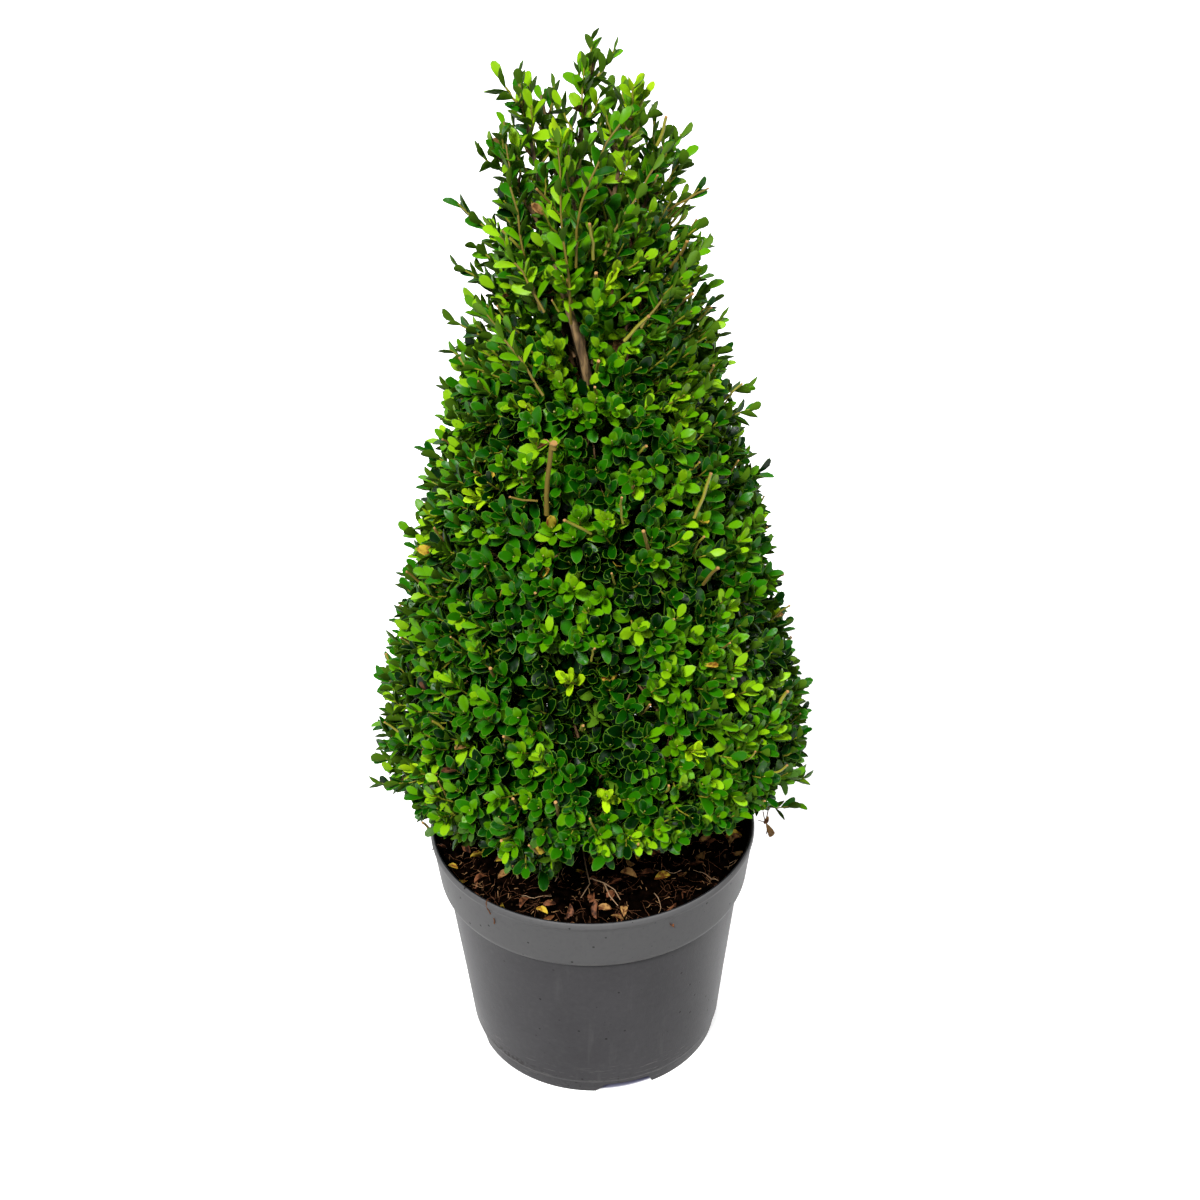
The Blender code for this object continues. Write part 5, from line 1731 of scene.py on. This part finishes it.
def crawl(dice, x, y, heading, step, count, lift):
    """A path that wanders over the soil from a point, kept inside the pot's mouth."""
    path = []
    for _ in range(count):
        path.append(on_soil(x, y, lift * dice.uniform(0.3, 1.0)))
        heading += dice.uniform(-0.32, 0.32)
        ahead = (x + step * math.cos(heading), y + step * math.sin(heading))
        if math.hypot(*ahead) < MOUTH_RADIUS:
            x, y = ahead
        else:
            heading += math.pi
    return path


print("litter helpers are ready")

# %% [markdown]
# The fallen leaves are brown, tan and yellow, and a few are still green. Most are rolled up and
# lie any way up. The larger ones at the front are placed one by one.

# %% Fallen leaves
LOOSE_LEAVES = 95
# Each leaf is its place, its heading in degrees, how far its tip rises, its length and its colour.
FALLEN = (
    ((-0.0974, -0.0328), 20.0, 0.2, 0.0130, YELLOW),
    ((-0.1062, -0.0450), 160.0, 0.4, 0.0090, YELLOW),
    ((-0.0929, -0.0625), 40.0, 0.2, 0.0130, BROWN),
    ((0.0502, -0.0228), 80.0, 0.9, 0.0130, LIME),
    ((0.0445, -0.0252), 30.0, 0.2, 0.0130, BROWN),
    ((0.0455, -0.0403), 35.0, 0.3, 0.0150, BROWN),
    ((0.0350, -0.0474), 75.0, 0.9, 0.0130, YELLOW),
    ((0.0336, -0.0656), 150.0, 0.2, 0.0150, TAN),
    ((0.0468, -0.0661), 20.0, 0.2, 0.0140, YELLOW),
    ((0.0759, -0.0186), 120.0, 0.2, 0.0170, YELLOW),
    ((0.1047, -0.0171), 15.0, 0.1, 0.0160, YELLOW),
    ((-0.0018, -0.0424), 10.0, 0.1, 0.0150, YELLOW),
    ((-0.0565, -0.0958), 60.0, 0.3, 0.0130, BROWN),
    ((-0.0398, -0.0940), 10.0, 0.2, 0.0110, BROWN),
    ((0.0013, -0.1000), 0.0, 0.1, 0.0120, TAN),
    ((0.0224, -0.1077), 90.0, 0.3, 0.0120, TAN),
)
for (x, y), degrees, rise, length, age in FALLEN:
    heading = math.radians(degrees)
    along = Vector((math.cos(heading), math.sin(heading), rise)).normalized()
    facing = (UP + any_way(dice, 0.4)).normalized()
    kind = SLIM if age == LIME else DRY
    litter.add(on_soil(x, y, 0.0012), along, facing, length, length * 0.52, kind, age)
for _ in range(LOOSE_LEAVES):
    x, y = in_mouth(dice, 0.045)
    heading = dice.uniform(0.0, 2.0 * math.pi)
    along = Vector((math.cos(heading), math.sin(heading), dice.uniform(-0.3, 0.6))).normalized()
    facing = (UP * dice.choice((1.0, 1.0, -1.0)) + any_way(dice, 0.7)).normalized()
    age = dice.choices((BROWN, TAN, YELLOW, SAGE), (56, 24, 16, 4))[0]
    length = dice.uniform(0.0090, 0.0150)
    kind = dice.choice((DRY, DRY, SLIM, YOUNG))
    litter.add(on_soil(x, y, 0.0004), along, facing, length, length * dice.uniform(0.42, 0.58), kind, age)
print("fallen leaves:", len(litter.rows))

# %% [markdown]
# Fibres, chips and roots differ only in number, length, thickness and how high they lie, so one
# loop crawls them all. A forked root lies in front of the trunk, where the bed is open.

# %% Fibres, chips and roots
# Each kind is its number, its least and greatest step, its points, its lift, its least and
# greatest radius and the radius of its tip.
CRAWLERS = (
    (fibres, 400, (0.0020, 0.0045), 6, 0.0012, (0.00013, 0.00027), 0.00010),
    (chips, 330, (0.0008, 0.0030), 3, 0.0026, (0.00018, 0.00050), 0.00014),
    (roots, 26, (0.0025, 0.0050), 8, 0.0018, (0.00025, 0.00045), 0.00015),
)
for kind, number, steps, points, lift, radii, tip_radius in CRAWLERS:
    for _ in range(number):
        x, y = in_mouth(dice)
        heading, step = dice.uniform(0.0, ANY_HEADING), dice.uniform(*steps)
        path = crawl(dice, x, y, heading, step, points, lift)
        kind.add(path, dice.uniform(*radii), tip_radius)
forks = (
    ((-0.008, -0.030), (-0.006, -0.052), (-0.003, -0.072), (-0.010, -0.092)),
    ((-0.003, -0.066), (0.008, -0.070), (0.016, -0.078), (0.020, -0.090)),
    ((0.008, -0.070), (0.012, -0.084), (0.018, -0.098)),
)
for fork in forks:
    roots.add([on_soil(x, y, 0.0034) for x, y in fork], 0.00070, 0.00036)
print("fibres:", CRAWLERS[0][1], "chips:", CRAWLERS[1][1], "roots:", CRAWLERS[2][1] + len(forks))

# %% [markdown]
# Two small things break the plant's tidy outline. At the right a withered twig hangs from the
# skirt with a dead leaf on it, and at the left a trickle of wet peat has run over the rim and down
# the collar.

# %% Withered twig and trickle
WITHERED_Y = -0.0300
withered = (
    ((0.1379, 0.2310), (0.1372, 0.2240), (0.1362, 0.2190), (0.1359, 0.2150)),
    ((0.1336, 0.2265), (0.1345, 0.2215), (0.1356, 0.2165)),
    ((0.1299, 0.2183), (0.1330, 0.2170), (0.1358, 0.2160)),
    ((0.1367, 0.2040), (0.1374, 0.2070), (0.1372, 0.2110)),
)
for twig in withered:
    fibres.add([Vector((x, WITHERED_Y, z)) for x, z in twig], 0.00042, 0.00038)
along, facing = Vector((0.42, -0.05, -1.0)).normalized(), Vector((0.30, -1.0, 0.15))
litter.add(Vector((0.1359, -0.0305, 0.2160)), along, facing, 0.0172, 0.0062, DRY, TAN)
along = Vector((-0.50, -0.10, -1.0)).normalized()
litter.add(Vector((0.1378, -0.0305, 0.2225)), along, facing, 0.0074, 0.0044, YOUNG, TAN)
trickle = (
    (
        (-0.0790, -0.0950, 0.1965),
        (-0.0808, -0.0985, 0.2012),
        (-0.0818, -0.1012, 0.2000),
        (-0.0812, -0.1008, 0.1949),
    ),
    ((-0.0812, -0.1008, 0.1949), (-0.0800, -0.1010, 0.1922), (-0.0788, -0.1015, 0.1895)),
    ((-0.0765, -0.1030, 0.1866), (-0.0760, -0.1030, 0.1840), (-0.0762, -0.1027, 0.1812)),
)
for number, run in enumerate(trickle):
    fibres.add([Vector(point) for point in run], 0.00050, 0.00050 + 0.00012 * number)
print("withered twigs:", len(withered), "runs of peat:", len(trickle))

# %% [markdown]
# Crumbs of peat are small lumps with no two faces alike. Three lumps are made once, and a Geometry
# Nodes tree sets several hundred of them, turned and scaled, on points over the bed. The class
# that collects leaves serves for them too, because a crumb also has a place, a turn and a size.

# %% Crumbs of peat
LUMP_KINDS, CRUMBS = 3, 400
board, given = new_tree("lumps_on_points", (("Lumps", "Collection"), ("Earth", "Material")))
lumps_in = {"Collection": given.out("Lumps"), "Separate Children": True, "Reset Children": True}
crumbs = board.add(
    "GeometryNodeInstanceOnPoints",
    None,
    {
        "Points": given.out("Geometry"),
        "Instance": board.add("GeometryNodeCollectionInfo", None, lumps_in),
        "Pick Instance": True,
        "Instance Index": attribute(board, "kind", "INT"),
        "Rotation": attribute(board, "turn", "QUATERNION"),
        "Scale": attribute(board, "size", "FLOAT_VECTOR"),
    },
)
crumbs = board.add("GeometryNodeRealizeInstances", None, {"Geometry": crumbs})
crumbs = board.add("GeometryNodeSetMaterial", None, {"Geometry": crumbs, "Material": given.out("Earth")})
board.add("NodeGroupOutput", None, {"Geometry": crumbs})

lump_kinds = bpy.data.collections.new("lump_kinds")
for order in range(LUMP_KINDS):
    build = bmesh.new()
    bmesh.ops.create_icosphere(build, subdivisions=2, radius=1.0)
    for point in build.verts:
        point.co *= 1.0 + 0.55 * noise.noise(point.co * 1.7 + UP * 9.0 * order)
    mesh = bpy.data.meshes.new("lump")
    build.to_mesh(mesh)
    build.free()
    lump_kinds.objects.link(bpy.data.objects.new(f"{order}_lump", mesh))

lumps = Leaves()
for _ in range(CRUMBS):
    x, y = in_mouth(dice, 0.02)
    size = dice.uniform(0.0008, 0.0024) * dice.uniform(0.7, 1.0)
    along, facing = any_way(dice, 1.0).normalized(), any_way(dice, 1.0).normalized()
    kind = dice.randint(0, LUMP_KINDS - 1)
    lumps.add(on_soil(x, y, 0.3 * size), along, facing, size, size * 0.8, kind, 0)
litter_pieces = [
    litter.piece("fallen_leaves"),
    fibres.piece("peat_fibres", finish("peat_fibre", rgb(92, 57, 31), 0.85), 4),
    chips.piece("wood_chips", finish("wood_chip", rgb(142, 106, 68), 0.80), 4),
    roots.piece("pale_roots", finish("pale_root", rgb(178, 146, 112), 0.70), 4),
    lumps.piece("peat_crumbs", board.tree, {"Lumps": lump_kinds, "Earth": peat}),
]
print("litter pieces:", [piece.name for piece in litter_pieces])

# %% [markdown]
# ## Put the pieces on the model
#
# Each piece hides the solids that it stands for, and moves with the root body.

# %% Ride and replace
nodes = sorted(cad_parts)


def stands_for(piece, wanted):
    """Hides the wanted solids, which this piece stands for, and makes it move with the root body."""
    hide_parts(*wanted)
    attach(piece, "root")


stands_for(pot, ["pot"])
stands_for(soil, ["soil"])
stands_for(trunk, ["trunk"])
stands_for(leaders, [node for node in nodes if node.startswith("leader_")])
for tier in TIERS:
    for group in range(tier[6]):
        masses = [k for k in range(tier[3]) if k * tier[6] // tier[3] == group]
        stands_for(foliage[(tier[0], group)], [f"foliage_{tier[0]}_{k + 1}" for k in masses])
for side in (0, 1):
    names = [f"foliage_crown_{name}" for name in CROWN_SIDES if CROWN_SIDES[name] == side]
    stands_for(foliage[("crown", side)], names)
for slot, free_pieces in (("bark", twigs), ("soil", litter_pieces)):
    for piece in free_pieces:
        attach(piece, "root")
